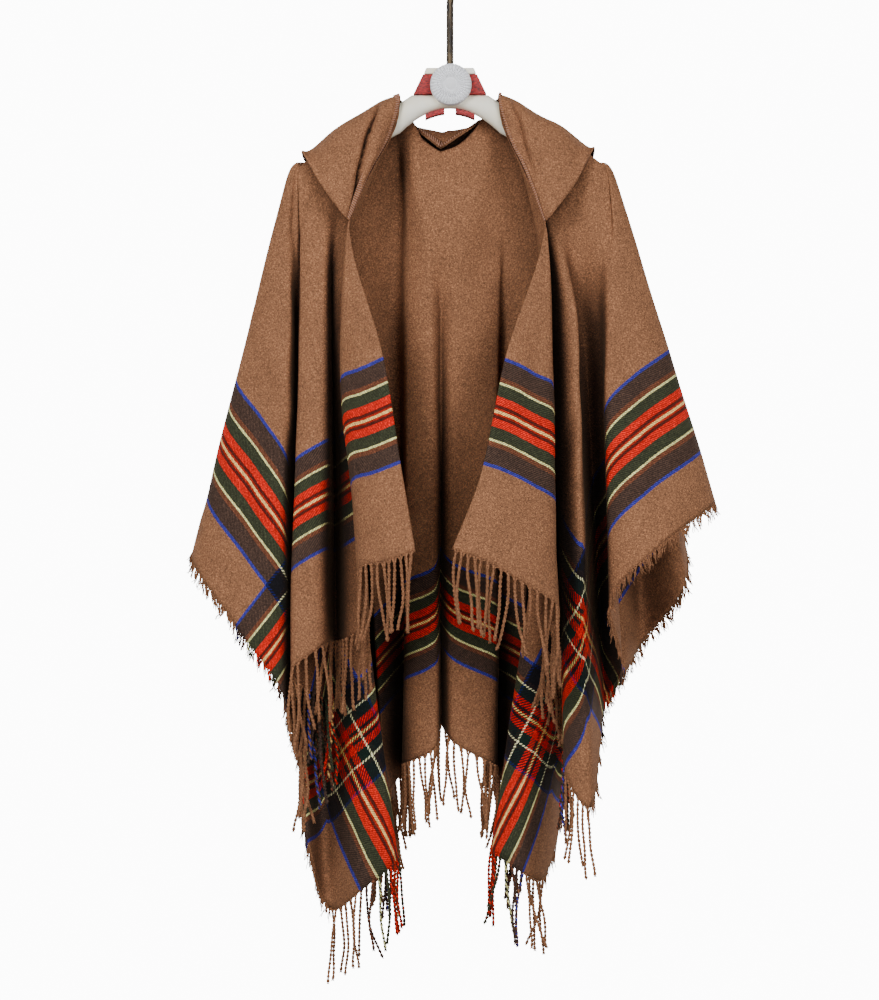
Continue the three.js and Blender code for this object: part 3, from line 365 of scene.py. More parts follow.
def fold_line(row, half, at_shares):
    """One fold line: its points and its places (s, t) at the given shares of it."""
    via_corner = row.start == CORNER
    start = 0 if via_corner else row.start
    top = support_point(half, start)
    places, place_shares = flat_route(row, half)

    # Where it crosses the arm, a fold line first runs straight away from the shoulder.
    away = math.atan2(row.s - places[0][0], row.t - places[0][1])
    clear_of_arm = math.copysign(1, math.cos(away)) if start < SHOULDER else math.cos(away)
    away_x, away_y = (0, -1) if via_corner else (half.side * math.sin(away), -clear_of_arm)

    stops = [(0, top[0], top[1]), *row.bends]
    if via_corner:
        corner_x, corner_y = half.corner
        stops.append((OFF_ARM, top[0] + half.side * 3, -3))
        stops.append((MID_SEAM, 0.4 * top[0] + 0.6 * corner_x, 0.6 * corner_y))
        stops.append((CORNER_SHARE, corner_x, corner_y))
    first_way = 2 if via_corner else 1
    stops += [(place_shares[first_way + i], x, y) for i, (_, _, x, y) in enumerate(row.ways)]
    if not via_corner and not row.outer:
        first = row.bends[0][0] if row.bends else place_shares[1]
        eased_x, eased_y = eased(row, half)
        if first > 2 * EASE:
            stops.append((EASE, top[0] + EASE * (eased_x - top[0]), EASE * eased_y))
        if first > FREE:
            x, y = (top[i] + OPENED * ((row.x, row.y)[i] - top[i]) for i in (0, 1))
            stops.append((OPENED, x, y))
    stops.append((1, row.x, row.y))
    stops.sort()

    # The steps are shorter near the hanger, and each drops by what its length leaves for height.
    share = (np.arange(STEPS + 1) / STEPS) ** 1.5
    flat = np.stack([np.interp(share, place_shares, [place[i] for place in places]) for i in (0, 1)],
                    axis=1)
    give = np.where((share <= CORNER_SHARE) & via_corner, 1, row.give)[1:]
    run = give * np.hypot(*np.diff(flat, axis=0).T)
    distance = np.concatenate([[0], np.cumsum(run)])
    fade = np.maximum(0, 1 - share / CORNER_SHARE) if via_corner else 1 - share
    reach = WRAP * np.tanh(distance / WRAP) * fade * (start >= 0)
    across = through([s[0] for s in stops], [s[1:] for s in stops], share)
    across = across + reach[:, None] * np.array([away_x, away_y])
    level = np.hypot(*np.diff(across, axis=0).T)
    drop = np.sqrt(np.maximum(run * run - level * level, 0))
    z = top[2] - np.concatenate([[0], np.cumsum(drop)])
    line = np.column_stack([across, z, flat])
    found = np.stack([np.interp(at_shares, share, line[:, k]) for k in range(5)], axis=1)
    return found[:, :3], found[:, 3:], distance[-1]


def hang(rows, half):
    """The hanging cloth of a table of fold lines: columns of points and of places (s, t)."""
    shares = (np.arange(LEVELS + 1) / LEVELS) ** 1.2
    points, flats = [], []
    for row in rows:
        reach = 1
        if row.s == HALF_WIDTH:
            _, _, length = fold_line(row, half, shares)
            reach = 1 - FRAY / length
        line, flat, _ = fold_line(row, half, shares * reach)
        if points:
            same = np.linalg.norm(line - points[-1], axis=1) < SAME_PLACE
            line[same] = points[-1][same]
        points.append(line)
        flats.append(flat)
    points, flats = np.array(points), np.array(flats)
    starts = [0 if row.start == CORNER else row.start for row in rows]
    edge = [math.hypot(b.s - a.s, b.t - a.t) for a, b in zip(rows, rows[1:])]
    knots = np.concatenate([[0], np.cumsum(edge)])
    grid, places = [], []
    for i in range(len(rows) - 1):
        round_neck = max(0, -starts[i + 1]) - max(0, -starts[i])
        parts = max(2, math.ceil(edge[i] / COLUMN), math.ceil(round_neck / NECK_COLUMN))
        count = parts + (i == len(rows) - 2)
        u = np.arange(count) / parts
        column = through(knots, points, knots[i] + u * edge[i])
        same = np.linalg.norm(points[i] - points[i + 1], axis=1) < 1e-9
        column[:, same] = points[i][same]
        for k in range(count):
            column[k, 0] = support_point(half, starts[i] + u[k] * (starts[i + 1] - starts[i]))
        grid.append(column)
        places.append(flats[i] + u[:, None, None] * (flats[i + 1] - flats[i]))
    places = np.concatenate(places)
    places[..., 0] *= half.side
    return np.concatenate(grid), places


def crease_heights(places):
    """Height of the soft creases at places (s, t), with a faint unevenness of the whole cloth."""
    s, t = places[..., 0], places[..., 1]
    height = UNEVEN * np.sin(s / 31 + 1.3 * np.sin(t / 83)) * np.sin(t / 57 + 0.8 * np.sin(s / 71))
    for s0, t0, s1, t1, width, raised in CREASES:
        run = np.array([s1 - s0, t1 - t0], float)
        along = np.clip(((s - s0) * run[0] + (t - t0) * run[1]) / (run @ run), 0, 1)
        bow = CREASE_BOW * np.sin(math.pi * along)
        off = np.hypot(s - s0 - along * run[0] - bow, t - t0 - along * run[1])
        height += raised * np.exp(-((off / width) ** 2)) * np.sin(math.pi * along) ** 0.6
    return height


def grid_normals(grid):
    """Directions square to a grid of points, none where its rows or columns meet."""
    across = np.gradient(grid, axis=0)
    down = np.gradient(grid, axis=1)
    normal = np.cross(down, across)
    length = np.linalg.norm(normal, axis=2, keepdims=True)
    return np.where(length > 1e-3, normal / np.maximum(length, 1e-9), 0)


# ---------------------------------------------------------------- meshes


def piece_of(name, points, faces, flats=None):
    """A mesh piece from points in millimetres, with its places on the flat cloth as its UV map."""
    mesh = bpy.data.meshes.new(name)
    mesh.from_pydata((np.asarray(points) * MM).tolist(), [], faces)
    if flats is not None:
        layer = mesh.uv_layers.new(name="cloth")
        corners = np.zeros(len(mesh.loops), np.int32)
        mesh.loops.foreach_get("vertex_index", corners)
        layer.data.foreach_set("uv", (np.asarray(flats)[corners] * MM).astype(np.float32).ravel())
    piece = bpy.data.objects.new(name, mesh)
    bpy.context.scene.collection.objects.link(piece)
    return piece


def grid_faces(columns, rows, first=0):
    return [(first + i * rows + j, first + (i + 1) * rows + j,
             first + (i + 1) * rows + j + 1, first + i * rows + j + 1)
            for i in range(columns - 1) for j in range(rows - 1)]


def weld(piece, distance=0.0001):
    """Joins points that meet and drops what collapses."""
    cloth = bmesh.new()
    cloth.from_mesh(piece.data)
    bmesh.ops.remove_doubles(cloth, verts=cloth.verts, dist=distance)
    bmesh.ops.dissolve_degenerate(cloth, edges=cloth.edges, dist=1e-6)
    bmesh.ops.recalc_face_normals(cloth, faces=cloth.faces)
    cloth.to_mesh(piece.data)
    cloth.free()


def smooth(piece):
    piece.data.polygons.foreach_set("use_smooth", [True] * len(piece.data.polygons))


def thicken(piece, thickness):
    """Gives a sheet its thickness, half to each side."""
    wall = piece.modifiers.new("wall", "SOLIDIFY")
    wall.thickness = thickness * MM
    wall.offset = 0
    bpy.context.view_layer.objects.active = piece
    bpy.ops.object.modifier_apply(modifier="wall")


# ---------------------------------------------------------------- body, fringe and frayed edges


def body_grid():
    """The whole body cloth, from the left slit edge round to the right one."""
    left_front, left_back = hang(LEFT.front, LEFT), hang(LEFT.back, LEFT)
    right_front, right_back = hang(RIGHT.front, RIGHT), hang(RIGHT.back, RIGHT)
    grid, places = (np.concatenate([
        left_front[k], left_back[k][1:], right_back[k][::-1][1:], right_front[k][::-1][1:],
    ]) for k in (0, 1))
    # The creases fade in over the first fifth of the way down.
    from_hanger = np.linspace(0, 1, LEVELS + 1)[None, :, None]
    fade = np.clip((from_hanger - 0.05) / 0.15, 0, 1)
    grid = grid + grid_normals(grid) * crease_heights(places)[..., None] * fade
    return grid, places


def body_cloth(grid, places):
    columns, rows = grid.shape[:2]
    body = piece_of("body_cloth", grid.reshape(-1, 3), grid_faces(columns, rows),
                    places.reshape(-1, 2))
    weld(body)
    thicken(body, CLOTH)
    smooth(body)
    return body


class Strands:
    """Many thin tubes joined in one mesh."""

    def __init__(self, name):
        self.name = name
        self.points = []
        self.flats = []
        self.faces = []

    def tube(self, centres, radii, sides, flats):
        """One tube along centres, its sections square to the line between its closed ends."""
        first = len(self.points)
        axis = centres[-1] - centres[0]
        axis = axis / np.linalg.norm(axis)
        aside = np.cross(axis, [0.3, 0.9, 0.1])
        aside = aside / np.linalg.norm(aside)
        other = np.cross(axis, aside)
        for centre, radius, flat in zip(centres, radii, flats):
            for k in range(sides):
                angle = 2 * math.pi * k / sides
                self.points.append(centre + radius * (math.cos(angle) * aside + math.sin(angle) * other))
                self.flats.append(flat)
        for i in range(len(centres) - 1):
            for k in range(sides):
                a, b = first + i * sides + k, first + i * sides + (k + 1) % sides
                self.faces.append((a, b, b + sides, a + sides))
        self.faces.append(tuple(range(first + sides - 1, first - 1, -1)))
        last = first + (len(centres) - 1) * sides
        self.faces.append(tuple(range(last, last + sides)))

    def piece(self):
        made = piece_of(self.name, self.points, self.faces, self.flats)
        smooth(made)
        return made


def edge_runs(grid, places):
    """The edges of the body cloth: rising places s or t, and the point and outward way at each."""
    ends, before, flat = grid[:, -1], grid[:, -4], places[:, -1]
    out = ends - before
    out = out / np.linalg.norm(out, axis=1, keepdims=True)
    edge = np.column_stack([ends, out])

    def run(mask, key):
        order = np.argsort(flat[mask, key], kind="stable")
        return flat[mask, key][order], edge[mask][order]

    s, t = flat.T
    side = np.abs(s) > HALF_WIDTH - FRAY - 1.5
    left = np.arange(len(s)) < len(s) / 2
    front = t > FRONT_LENGTH - FRAY
    return {
        "fringe_front_left": run(front & left, 0),
        "fringe_front_right": run(front & ~left, 0),
        "fringe_back": run(t < FRAY - BACK_LENGTH, 0),
        "frayed_left": run(side & (s < 0), 1),
        "frayed_right": run(side & (s > 0), 1),
    }


def edge_place(run, at, ahead):
    """A place on an edge: its point, its outward direction and the direction along the edge."""
    places, edge = run
    here = np.array([np.interp(at, places, edge[:, i]) for i in range(6)])
    beside = np.array([np.interp(at + ahead, places, edge[:, i]) for i in range(3)]) - here[:3]
    return here[:3], here[3:], beside / max(np.linalg.norm(beside), 1e-6)


STRAND_STEPS = 30
STRAND_SIDES = 5
ROOT_SPREAD = 0.22        # how far the two plies start apart, as a share of the pitch
STIFF = 9                 # length over which a strand turns from the cloth's direction to hang
GATHER = 3.5              # length over which its plies come together


def fringe(name, run, beyond, seed):
    """Strands of two twisted plies below a hem; each ply keeps the colour of its own warp ends."""
    dice = random.Random(seed)
    places, _ = run
    strands = Strands(name)
    low, high = places[0], places[-1]
    count = int((high - low) / FRINGE_PITCH)
    margin = (high - low - (count - 1) * FRINGE_PITCH) / 2
    share = np.linspace(0, 1, STRAND_STEPS)
    for k in range(count):
        s = low + margin + k * FRINGE_PITCH
        root, out, beside = edge_place(run, s, 2)
        length = FRINGE_LENGTH * dice.uniform(0.88, 1.0)
        lean = np.array([dice.gauss(0, 7.5), dice.gauss(0, 4), 0])
        bow = np.array([dice.uniform(-4, 4), dice.uniform(-3, 3), 0])
        sway = np.array([dice.uniform(-2.2, 2.2), dice.uniform(-2, 2), 0])
        turn = dice.uniform(0, 2 * math.pi)
        run_down = share * length
        stiff = np.exp(-run_down / STIFF)[:, None]
        steps = np.diff(run_down, prepend=0)[:, None]
        fall = np.cumsum(steps * (stiff * out + (1 - stiff) * [0, 0, -1]), axis=0)
        line = root - 1.2 * out + fall + lean * (share ** 1.5)[:, None]
        line = line + bow * np.sin(math.pi * share)[:, None]
        line = line + sway * (share * np.sin(2.7 * math.pi * share))[:, None]
        gather = np.exp(-run_down / GATHER)[:, None]
        # The plies open a little at the knot in the tip.
        apart = PLY * 0.95 * (1 + 0.3 * np.clip((share - 0.95) / 0.05, 0, 1))
        angle = turn + 2 * math.pi * run_down / TWIST
        for ply in (0, math.pi):
            spread = np.column_stack([np.cos(angle + ply), np.sin(angle + ply), np.zeros(STRAND_STEPS)])
            side = 1 if ply else -1
            centres = line + (1 - gather) * apart[:, None] * spread
            centres = centres + gather * side * FRINGE_PITCH * ROOT_SPREAD * beside
            radii = PLY * (1 + 0.5 * gather[:, 0])
            radii[-1] *= 0.55
            radii[-2] *= 1.25
            own = s + side * FRINGE_PITCH * 0.25
            flats = [(own, beyond * (1 + down / 1000)) for down in run_down]
            strands.tube(centres, radii, STRAND_SIDES, flats)
    return strands.piece()


HAIR = 0.84               # radius of a bunched loose end at its root
HAIR_STEPS = 7


def frayed_edge(name, run, seed):
    """Loose wavy weft ends along a side edge, bunched and drooping."""
    dice = random.Random(seed)
    places, _ = run
    hairs = Strands(name)
    side = -1 if name.endswith("left") else 1
    share = np.linspace(0, 1, HAIR_STEPS)
    lean = twist = 0
    for k in range(int((places[-1] - places[0]) / FRAY_PITCH)):
        if k % FRAY_BUNCH == 0:
            lean, twist = dice.uniform(-0.5, 0.5), dice.uniform(-0.45, 0.45)
        t = places[0] + k * FRAY_PITCH
        root, out, beside = edge_place(run, t, 3)
        gathered = 0.55 * (FRAY_BUNCH / 2 - k % FRAY_BUNCH) / FRAY_BUNCH
        heading = out + beside * (lean + gathered + dice.uniform(-0.18, 0.18))
        heading = heading + np.cross(out, beside) * (twist + dice.uniform(-0.3, 0.3))
        heading = heading / np.linalg.norm(heading)
        length = dice.uniform(11, 19)
        droop = np.array([0, 0, -1]) * length * dice.uniform(0, 0.16)
        wave = beside * dice.uniform(0.8, 1.9)
        centres = root - 2 * heading + share[:, None] * length * heading
        centres = centres + (share ** 2)[:, None] * droop
        centres = centres + np.sin(2.3 * math.pi * share + dice.uniform(0, 6))[:, None] * wave
        hairs.tube(centres, HAIR * (1 - 0.45 * share), 3, [(side * (HALF_WIDTH - 4), t)] * HAIR_STEPS)
    return hairs.piece()


# ---------------------------------------------------------------- hood

HOOD_PARTS = 10           # faces between two places of a panel's net
HOOD_LENGTH, HOOD_DEPTH = 300, 270
HOOD_T = 330              # where a panel's own places start, on plain cloth between the bands
HOOD_RIPPLE = 0.8
RIPPLE_FADE = 6           # faces from an edge over which the ripple fades
# The hood's side of the neck seam: shares of the fold line along the slit, then places round the
# neck in millimetres.
SLIT_SEAM = (CORNER_SHARE, MID_SEAM, 0.11, 0.03)
NECK_SEAM = (0, -17, -36, -89)
# The valley beside the neck seam's roll: columns of a panel from the seam's lower corner, its rows
# from the seam there, and its depth in millimetres.
LEFT_VALLEY = [(0, 0, 0), (5, 2.5, 7), (10, 5, 11), (20, 8, 13), (32, 9.5, 11), (40, 10, 0)]
RIGHT_VALLEY = [(8, 2.5, 0), (18, 4, 7), (30, 6, 7), (40, 7, 0)]


def seam_line(half):
    """The hood's side of the neck seam."""
    front, _, _ = fold_line(half.front[0], half, SLIT_SEAM)
    front = front + [[0, -0.8 * SEAM_STEP, (0.6 + 0.2 * i) * SEAM_STEP] for i in range(len(front))]
    back = [support_point(half, start) + [0, 0, (1.4 if start == 0 else 1) * SEAM_STEP]
            for start in NECK_SEAM]
    return np.concatenate([front, back]) - [0, 0, NECK_Z]


def hood_panel(half):
    """One panel of the hood: a grid of points from the neck seam up and over to the crown."""
    net = [seam_line(half), *half.hood]
    places = np.linspace(0, len(net[0]) - 1, (len(net[0]) - 1) * HOOD_PARTS + 1)
    heights = np.linspace(0, len(net) - 1, (len(net) - 1) * HOOD_PARTS + 1)
    rows = [through(range(len(row)), row, places) for row in net]
    grid = through(range(len(net)), rows, heights).transpose(1, 0, 2)
    return grid + [0, 0, NECK_Z]


def seam_roll(grid, valley):
    """How far each place of a panel is sunk in the valley, or raised in the roll beside the seam."""
    columns, rows = grid.shape[:2]
    at, middle, depth = np.array(valley, float).T
    column = np.arange(columns)
    row = np.interp(column, at, middle)[:, None]
    deep = np.interp(column, at, depth)[:, None]
    up = np.arange(rows)[None, :]
    roll = np.where(up < row, np.sin(math.pi * np.clip(up / np.maximum(row, 1), 0, 1)), 0)
    return 0.4 * deep * roll - deep * np.exp(-(((up - row) / 1.3) ** 2))


def hood_cloth():
    """Both panels, sewn to each other along the crown and the back."""
    left, right = hood_panel(LEFT), hood_panel(RIGHT)
    for edge in (np.s_[-1, :], np.s_[:, -1]):
        middle = (left[edge] + right[edge]) / 2
        left[edge] = middle
        right[edge] = middle
    columns, rows = left.shape[:2]
    points, flats, faces = [], [], []
    from_ends = np.minimum(np.arange(columns), np.arange(columns)[::-1])[:, None]
    from_edges = np.minimum(np.arange(rows), np.arange(rows)[::-1])
    fade = np.clip(np.minimum(from_ends, from_edges) / RIPPLE_FADE, 0, 1)
    along = np.linspace(0, HOOD_LENGTH, columns)[:, None] * np.ones(rows)
    up = np.ones(columns)[:, None] * np.linspace(0, HOOD_DEPTH, rows)
    for side, grid, valley in ((-1, left, LEFT_VALLEY), (1, right, RIGHT_VALLEY)):
        ripple = HOOD_RIPPLE * np.sin(along / 23 + side) * np.sin(up / 31 + 2 * side)
        raised = ripple * fade + side * seam_roll(grid, valley)
        faces += grid_faces(columns, rows, len(points) * columns * rows)
        points.append(grid + grid_normals(grid) * raised[..., None])
        flats.append(np.stack([side * along, HOOD_T - up], axis=-1))
    hood = piece_of("hood_cloth", np.concatenate(points).reshape(-1, 3), faces,
                    np.concatenate(flats).reshape(-1, 2))
    weld(hood, 0.00005)
    thicken(hood, CLOTH)
    smooth(hood)
    return hood, left, right


BAND_ROWS = 4
BAND_LIFT = 1.9           # middle of the doubled cloth over the panel's
BAND_HEIGHT = 1.5
# How its width changes up from the hood's corner.
BAND_TAPER = [0, 90, 150], [0.35, 1, 0.7]


def seam_band(name, edge, inward, width):
    """A narrow band of doubled cloth on a panel beside its edge."""
    across = inward - edge
    across = across / np.linalg.norm(across, axis=1, keepdims=True)
    along = np.gradient(edge, axis=0)
    normal = np.cross(along, across)
    normal = normal / np.linalg.norm(normal, axis=1, keepdims=True)
    normal = normal * np.sign(normal @ [0, -1, 0.6])[:, None]
    run = np.concatenate([[0], np.cumsum(np.linalg.norm(np.diff(edge, axis=0), axis=1))])
    width = width * np.interp(run, *BAND_TAPER)[:, None]
    grid = np.stack([edge + across * width * k / (BAND_ROWS - 1) + normal * BAND_LIFT
                     for k in range(BAND_ROWS)], axis=1)
    flats = np.stack([np.column_stack([run, 20 + k + 0 * run]) for k in range(BAND_ROWS)], axis=1)
    band = piece_of(name, grid.reshape(-1, 3), grid_faces(len(edge), BAND_ROWS), flats.reshape(-1, 2))
    thicken(band, BAND_HEIGHT)
    smooth(band)
    return band, grid[:, 0], across * width, normal, run


LOOP_STEPS = 6
LOOP_HEIGHT = 0.9         # of the thread over the band's middle


def overlock(name, edge, across, normal, run):
    """Overlock thread: a slanting loop over the band at each stitch."""
    stitches = Strands(name)
    share = np.linspace(0, 1, LOOP_STEPS)
    for k in range(int(run[-1] / STITCH_PITCH)):
        at = (k + 0.5) * STITCH_PITCH
        here, over, up = (np.array([np.interp(at, run, part[:, i]) for i in range(3)])
                          for part in (edge, across, normal))
        ahead = np.array([np.interp(at + 1, run, edge[:, i]) for i in range(3)]) - here
        centres = here + share[:, None] * over + ahead * 1.3 * share[:, None]
        centres = centres + up * (LOOP_HEIGHT * (0.9 + 0.25 * np.sin(math.pi * share)))[:, None]
        stitches.tube(centres, np.full(LOOP_STEPS, THREAD), 4, [(0, 0)] * LOOP_STEPS)
    return stitches.piece()


# ---------------------------------------------------------------- hanger


def select_alone(piece):
    bpy.ops.object.select_all(action="DESELECT")
    piece.select_set(True)
    bpy.context.view_layer.objects.active = piece


def start_edit(piece, action="DESELECT"):
    """Opens one piece alone for editing, with all or nothing of it selected."""
    select_alone(piece)
    bpy.ops.object.mode_set(mode="EDIT")
    bpy.ops.mesh.select_all(action=action)


def end_edit():
    bpy.ops.mesh.select_all(action="SELECT")
    bpy.ops.mesh.remove_doubles(threshold=0.00005)
    bpy.ops.mesh.normals_make_consistent(inside=False)
    bpy.ops.object.mode_set(mode="OBJECT")


def select_where(test):
    """Selects the points of the piece being edited whose place passes the test."""
    bpy.ops.mesh.select_mode(type="VERT")
    bpy.ops.mesh.select_all(action="DESELECT")
    mesh = bmesh.from_edit_mesh(bpy.context.edit_object.data)
    for point in mesh.verts:
        if test(point.co):
            point.select_set(True)
    mesh.select_flush(True)
    bmesh.update_edit_mesh(bpy.context.edit_object.data)


def settled(name, scale=(1, 1, 1)):
    """Names the new primitive and settles its place and size in its mesh."""
    piece = bpy.context.object
    piece.name = name
    piece.scale = scale
    bpy.ops.object.transform_apply(location=True, rotation=True, scale=True)
    return piece


def new_circle(name, vertices, radius, location, turn=(0, 0, 0), fill="NGON"):
    bpy.ops.object.select_all(action="DESELECT")
    bpy.ops.mesh.primitive_circle_add(vertices=vertices, radius=radius, fill_type=fill,
                                      location=location, rotation=turn)
    return settled(name)


def new_box(name, low, high):
    bpy.ops.object.select_all(action="DESELECT")
    bpy.ops.mesh.primitive_cube_add(size=1, location=(low + high) / 2)
    return settled(name, high - low)


def finish_hard(piece, bevel=0, segments=3, angle=35):
    """Rounds the edges of a hard piece and shades it smooth by angle."""
    select_alone(piece)
    if bevel:
        rounding = piece.modifiers.new("rounding", "BEVEL")
        rounding.width = bevel
        rounding.segments = segments
        rounding.limit_method = "ANGLE"
        bpy.ops.object.modifier_apply(modifier="rounding")
    bpy.ops.object.shade_smooth_by_angle(angle=math.radians(angle))


def arch_bottom(x):
    return -ARCH_BOTTOM - (ARM_HEIGHT - ARCH_BOTTOM) * (x / ARM_NECK_X) ** 2


def hanger_arms():
    """The two arms and the arch between them: a rounded section drawn out from the middle to a tip."""
    stations = [0, 6, 12, 18, 24, 30, 36, 42, 48, 55, 63, 76, 90, 105, 120, 140, 160, 174, 183, 187, 188]
    tip_bottom = -ARM_SLOPE * (ARM_TIP_X - ARM_NECK_X) - ARM_TIP_HEIGHT

    def section(x):
        out = max(0, (x - ARM_NECK_X) / (ARM_TIP_X - ARM_NECK_X))
        top = min(ARCH_TOP, -ARM_SLOPE * (x - ARM_NECK_X))
        bottom = -ARM_HEIGHT + out * (ARM_HEIGHT + tip_bottom) if out else arch_bottom(x)
        left = ARM_TIP_X - x
        # The tip is rounded off over its last 10 mm.
        shrink = 0.5 if left < 1 else min(1, 0.86 + left / 70)
        middle = NECK_Z + (top + bottom) / 2
        return shrink * ARM_DEPTH / 2 * (1 - 0.3 * out), shrink * (top - bottom) / 2, middle

    arms = new_circle("hanger_arms_lacquered", 28, 1, (0, 0, 0), (0, math.pi / 2, 0), "NOTHING")
    start_edit(arms, "SELECT")
    depth, height, middle = section(0)
    bpy.ops.transform.resize(value=(1, depth * MM, height * MM), center_override=(0, 0, 0))
    bpy.ops.transform.translate(value=(0, 0, middle * MM))
    for x, after in zip(stations, stations[1:]):
        new_depth, new_height, new_middle = section(after)
        bpy.ops.mesh.extrude_edges_move(TRANSFORM_OT_translate={
            "value": ((after - x) * MM, 0, (new_middle - middle) * MM)})
        bpy.ops.transform.resize(value=(1, new_depth / depth, new_height / height),
                                 center_override=(after * MM, 0, new_middle * MM))
        depth, height, middle = new_depth, new_height, new_middle
    bpy.ops.mesh.edge_face_add()
    bpy.ops.object.mode_set(mode="OBJECT")
    both = arms.modifiers.new("both", "MIRROR")
    both.merge_threshold = 0.0001
    bpy.ops.object.modifier_apply(modifier="both")
    start_edit(arms)
    end_edit()
    finish_hard(arms, angle=50)
    return arms


def narrow_top(high, share):
    """Draws the top of the piece being edited in from both sides."""
    select_where(lambda place: place.z > high.z - 0.0001)
    bpy.ops.transform.resize(value=(share, 1, 1), center_override=(0, 0, high.z))


def cut_across(places):
    """Cuts the whole of the piece being edited at each place along X."""
    for x in places:
        bpy.ops.mesh.select_all(action="SELECT")
        bpy.ops.mesh.bisect(plane_co=(x, 0, 0), plane_no=(1, 0, 0))


def hanger_cap():
    """The lacquered cap over the sleeve, a little narrower at its top."""
    low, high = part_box("hanger_cap")
    cap = new_box("hanger_cap_lacquered", low, high)
    start_edit(cap)
    narrow_top(high, 1 - 2 * (CAP_DRAWN_IN * MM) / (high.x - low.x))
    end_edit()
    finish_hard(cap, 0.0015)
    return cap


def hanger_sleeve():
    """The ribbed red sleeve round the middle block: pressed channels run up it."""
    low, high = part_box("hanger_block")
    sleeve = new_box("hanger_sleeve", low, high)
    ribs = [low.x + (high.x - low.x) * k / SLEEVE_RIBS for k in range(1, SLEEVE_RIBS)]
    start_edit(sleeve)
    cut_across(ribs)
    for x in ribs[::2]:
        select_where(lambda place: abs(place.x - x) < 0.0002)
        bpy.ops.transform.resize(value=(1, CHANNEL_DEPTH, 1), center_override=(x, 0, 0))
    narrow_top(high, BLOCK_TOP_WIDTH / BLOCK_WIDTH)
    end_edit()
    finish_hard(sleeve, 0.0004, 2, 60)
    return sleeve


def arch_lining(name, node, side):
    """A red strip that follows one side of the arch."""
    low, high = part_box(node)
    strip = new_box(name, Vector((LINING_FROM * MM, low.y, -LINING_HEIGHT * MM)),
                    Vector((LINING_TO * MM, high.y, 0)))
    places = range(LINING_FROM, LINING_TO + 1, LINING_STEP)
    start_edit(strip)
    cut_across(x * MM for x in places[1:-1])
    for x in places:
        select_where(lambda place: abs(place.x - x * MM) < 0.0002)
        bpy.ops.transform.translate(value=(0, 0, (NECK_Z + arch_bottom(x) - LINING_GAP) * MM))
    if side < 0:
        bpy.ops.mesh.select_all(action="SELECT")
        bpy.ops.transform.mirror(constraint_axis=(True, False, False), orient_type="GLOBAL",
                                 center_override=(0, 0, 0))
    end_edit()
    finish_hard(strip, 0.0003, 2)
    return strip


def hook():
    """The rod: up from the cap, bent aside and over into an open hook with a rounded end."""
    ring = new_circle("hook_rod", 20, ROD * MM, (0, 0, STEM_FOOT * MM))
    start_edit(ring, "SELECT")
    bpy.ops.mesh.extrude_region_move(TRANSFORM_OT_translate={
        "value": (0, 0, (STEM_TOP - STEM_FOOT) * MM)})
    # Two bends lead from the middle out to the side of the hook.
    sideways = (HOOK_INSIDE + ROD) / 2
    bend = math.acos(1 - sideways / STEM_BEND)
    rise = STEM_BEND * math.sin(bend)
    top = STEM_TOP + rise
    bpy.ops.mesh.spin(steps=8, angle=-bend, axis=(0, 1, 0),
                      center=(STEM_BEND * MM, 0, STEM_TOP * MM))
    bpy.ops.mesh.spin(steps=8, angle=bend, axis=(0, 1, 0),
                      center=((2 * sideways - STEM_BEND) * MM, 0, (top + rise) * MM))
    bpy.ops.mesh.extrude_region_move(TRANSFORM_OT_translate={
        "value": (0, 0, (-HOOK_INSIDE - top - rise) * MM)})
    bpy.ops.mesh.spin(steps=22, angle=math.pi * 1.12, axis=(0, 1, 0),
                      center=(0, 0, -HOOK_INSIDE * MM))
    for size in (0.86, 0.6):
        bpy.ops.mesh.extrude_region_move()
        bpy.ops.transform.resize(value=(size, size, size))
    end_edit()
    finish_hard(ring, angle=50)
    return ring


def rosette():
    """A generic ribbon rosette: two rings of even pleats round a plain button."""
    low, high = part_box("rosette")
    centre = Vector(((low.x + high.x) / 2, high.y, (low.z + high.z) / 2))
    outer = (high.x - low.x) / 2
    around = new_circle("rosette_ribbon", PLEATS * 2, outer, centre, (math.pi / 2, 0, 0))
    start_edit(around, "SELECT")
    # Its section from the back out over the rim and in to the button: share of its radius, metres
    # forward or back.
    steps = [(1.0, -0.0035), (0.98, -0.004), (0.84, -0.0022), (0.7, -0.0012), (0.66, 0.0016),
             (0.62, -0.0014), (0.46, -0.0012), (0.3, 0.0016)]
    reach = 1.0
    depth = 0.0
    for share, forward in steps:
        bpy.ops.mesh.extrude_region_move(TRANSFORM_OT_translate={"value": (0, forward, 0)})
        depth += forward
        bpy.ops.transform.resize(value=(share / reach, 1, share / reach),
                                 center_override=(centre.x, centre.y + depth, centre.z))
        reach = share
    mesh = bmesh.from_edit_mesh(around.data)
    for point in mesh.verts:
        out = point.co - centre
        pleat = round(math.atan2(out.z, out.x) / math.pi * PLEATS)
        far = math.hypot(out.x, out.z) / outer
        point.select = pleat % 2 == 1 and far > 0.35 and out.y < -0.001
    bmesh.update_edit_mesh(around.data)
    bpy.ops.transform.translate(value=(0, -PLEAT_HEIGHT * MM, 0))
    end_edit()
    finish_hard(around, 0.00025, 2, 60)

    low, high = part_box("rosette_button")
    bpy.ops.object.select_all(action="DESELECT")
    bpy.ops.mesh.primitive_uv_sphere_add(segments=32, ring_count=16, radius=0.5,
                                         location=(low + high) / 2)
    button = settled("rosette_centre", high - low)
    finish_hard(button)
    return around, button


# ---------------------------------------------------------------- materials


def linear(red, green, blue):
    """An sRGB colour, 0 to 255, as Blender's linear one."""
    found = []
    for value in (red, green, blue):
        value /= 255
        found.append(value / 12.92 if value <= 0.04045 else ((value + 0.055) / 1.055) ** 2.4)
    return (*found, 1)


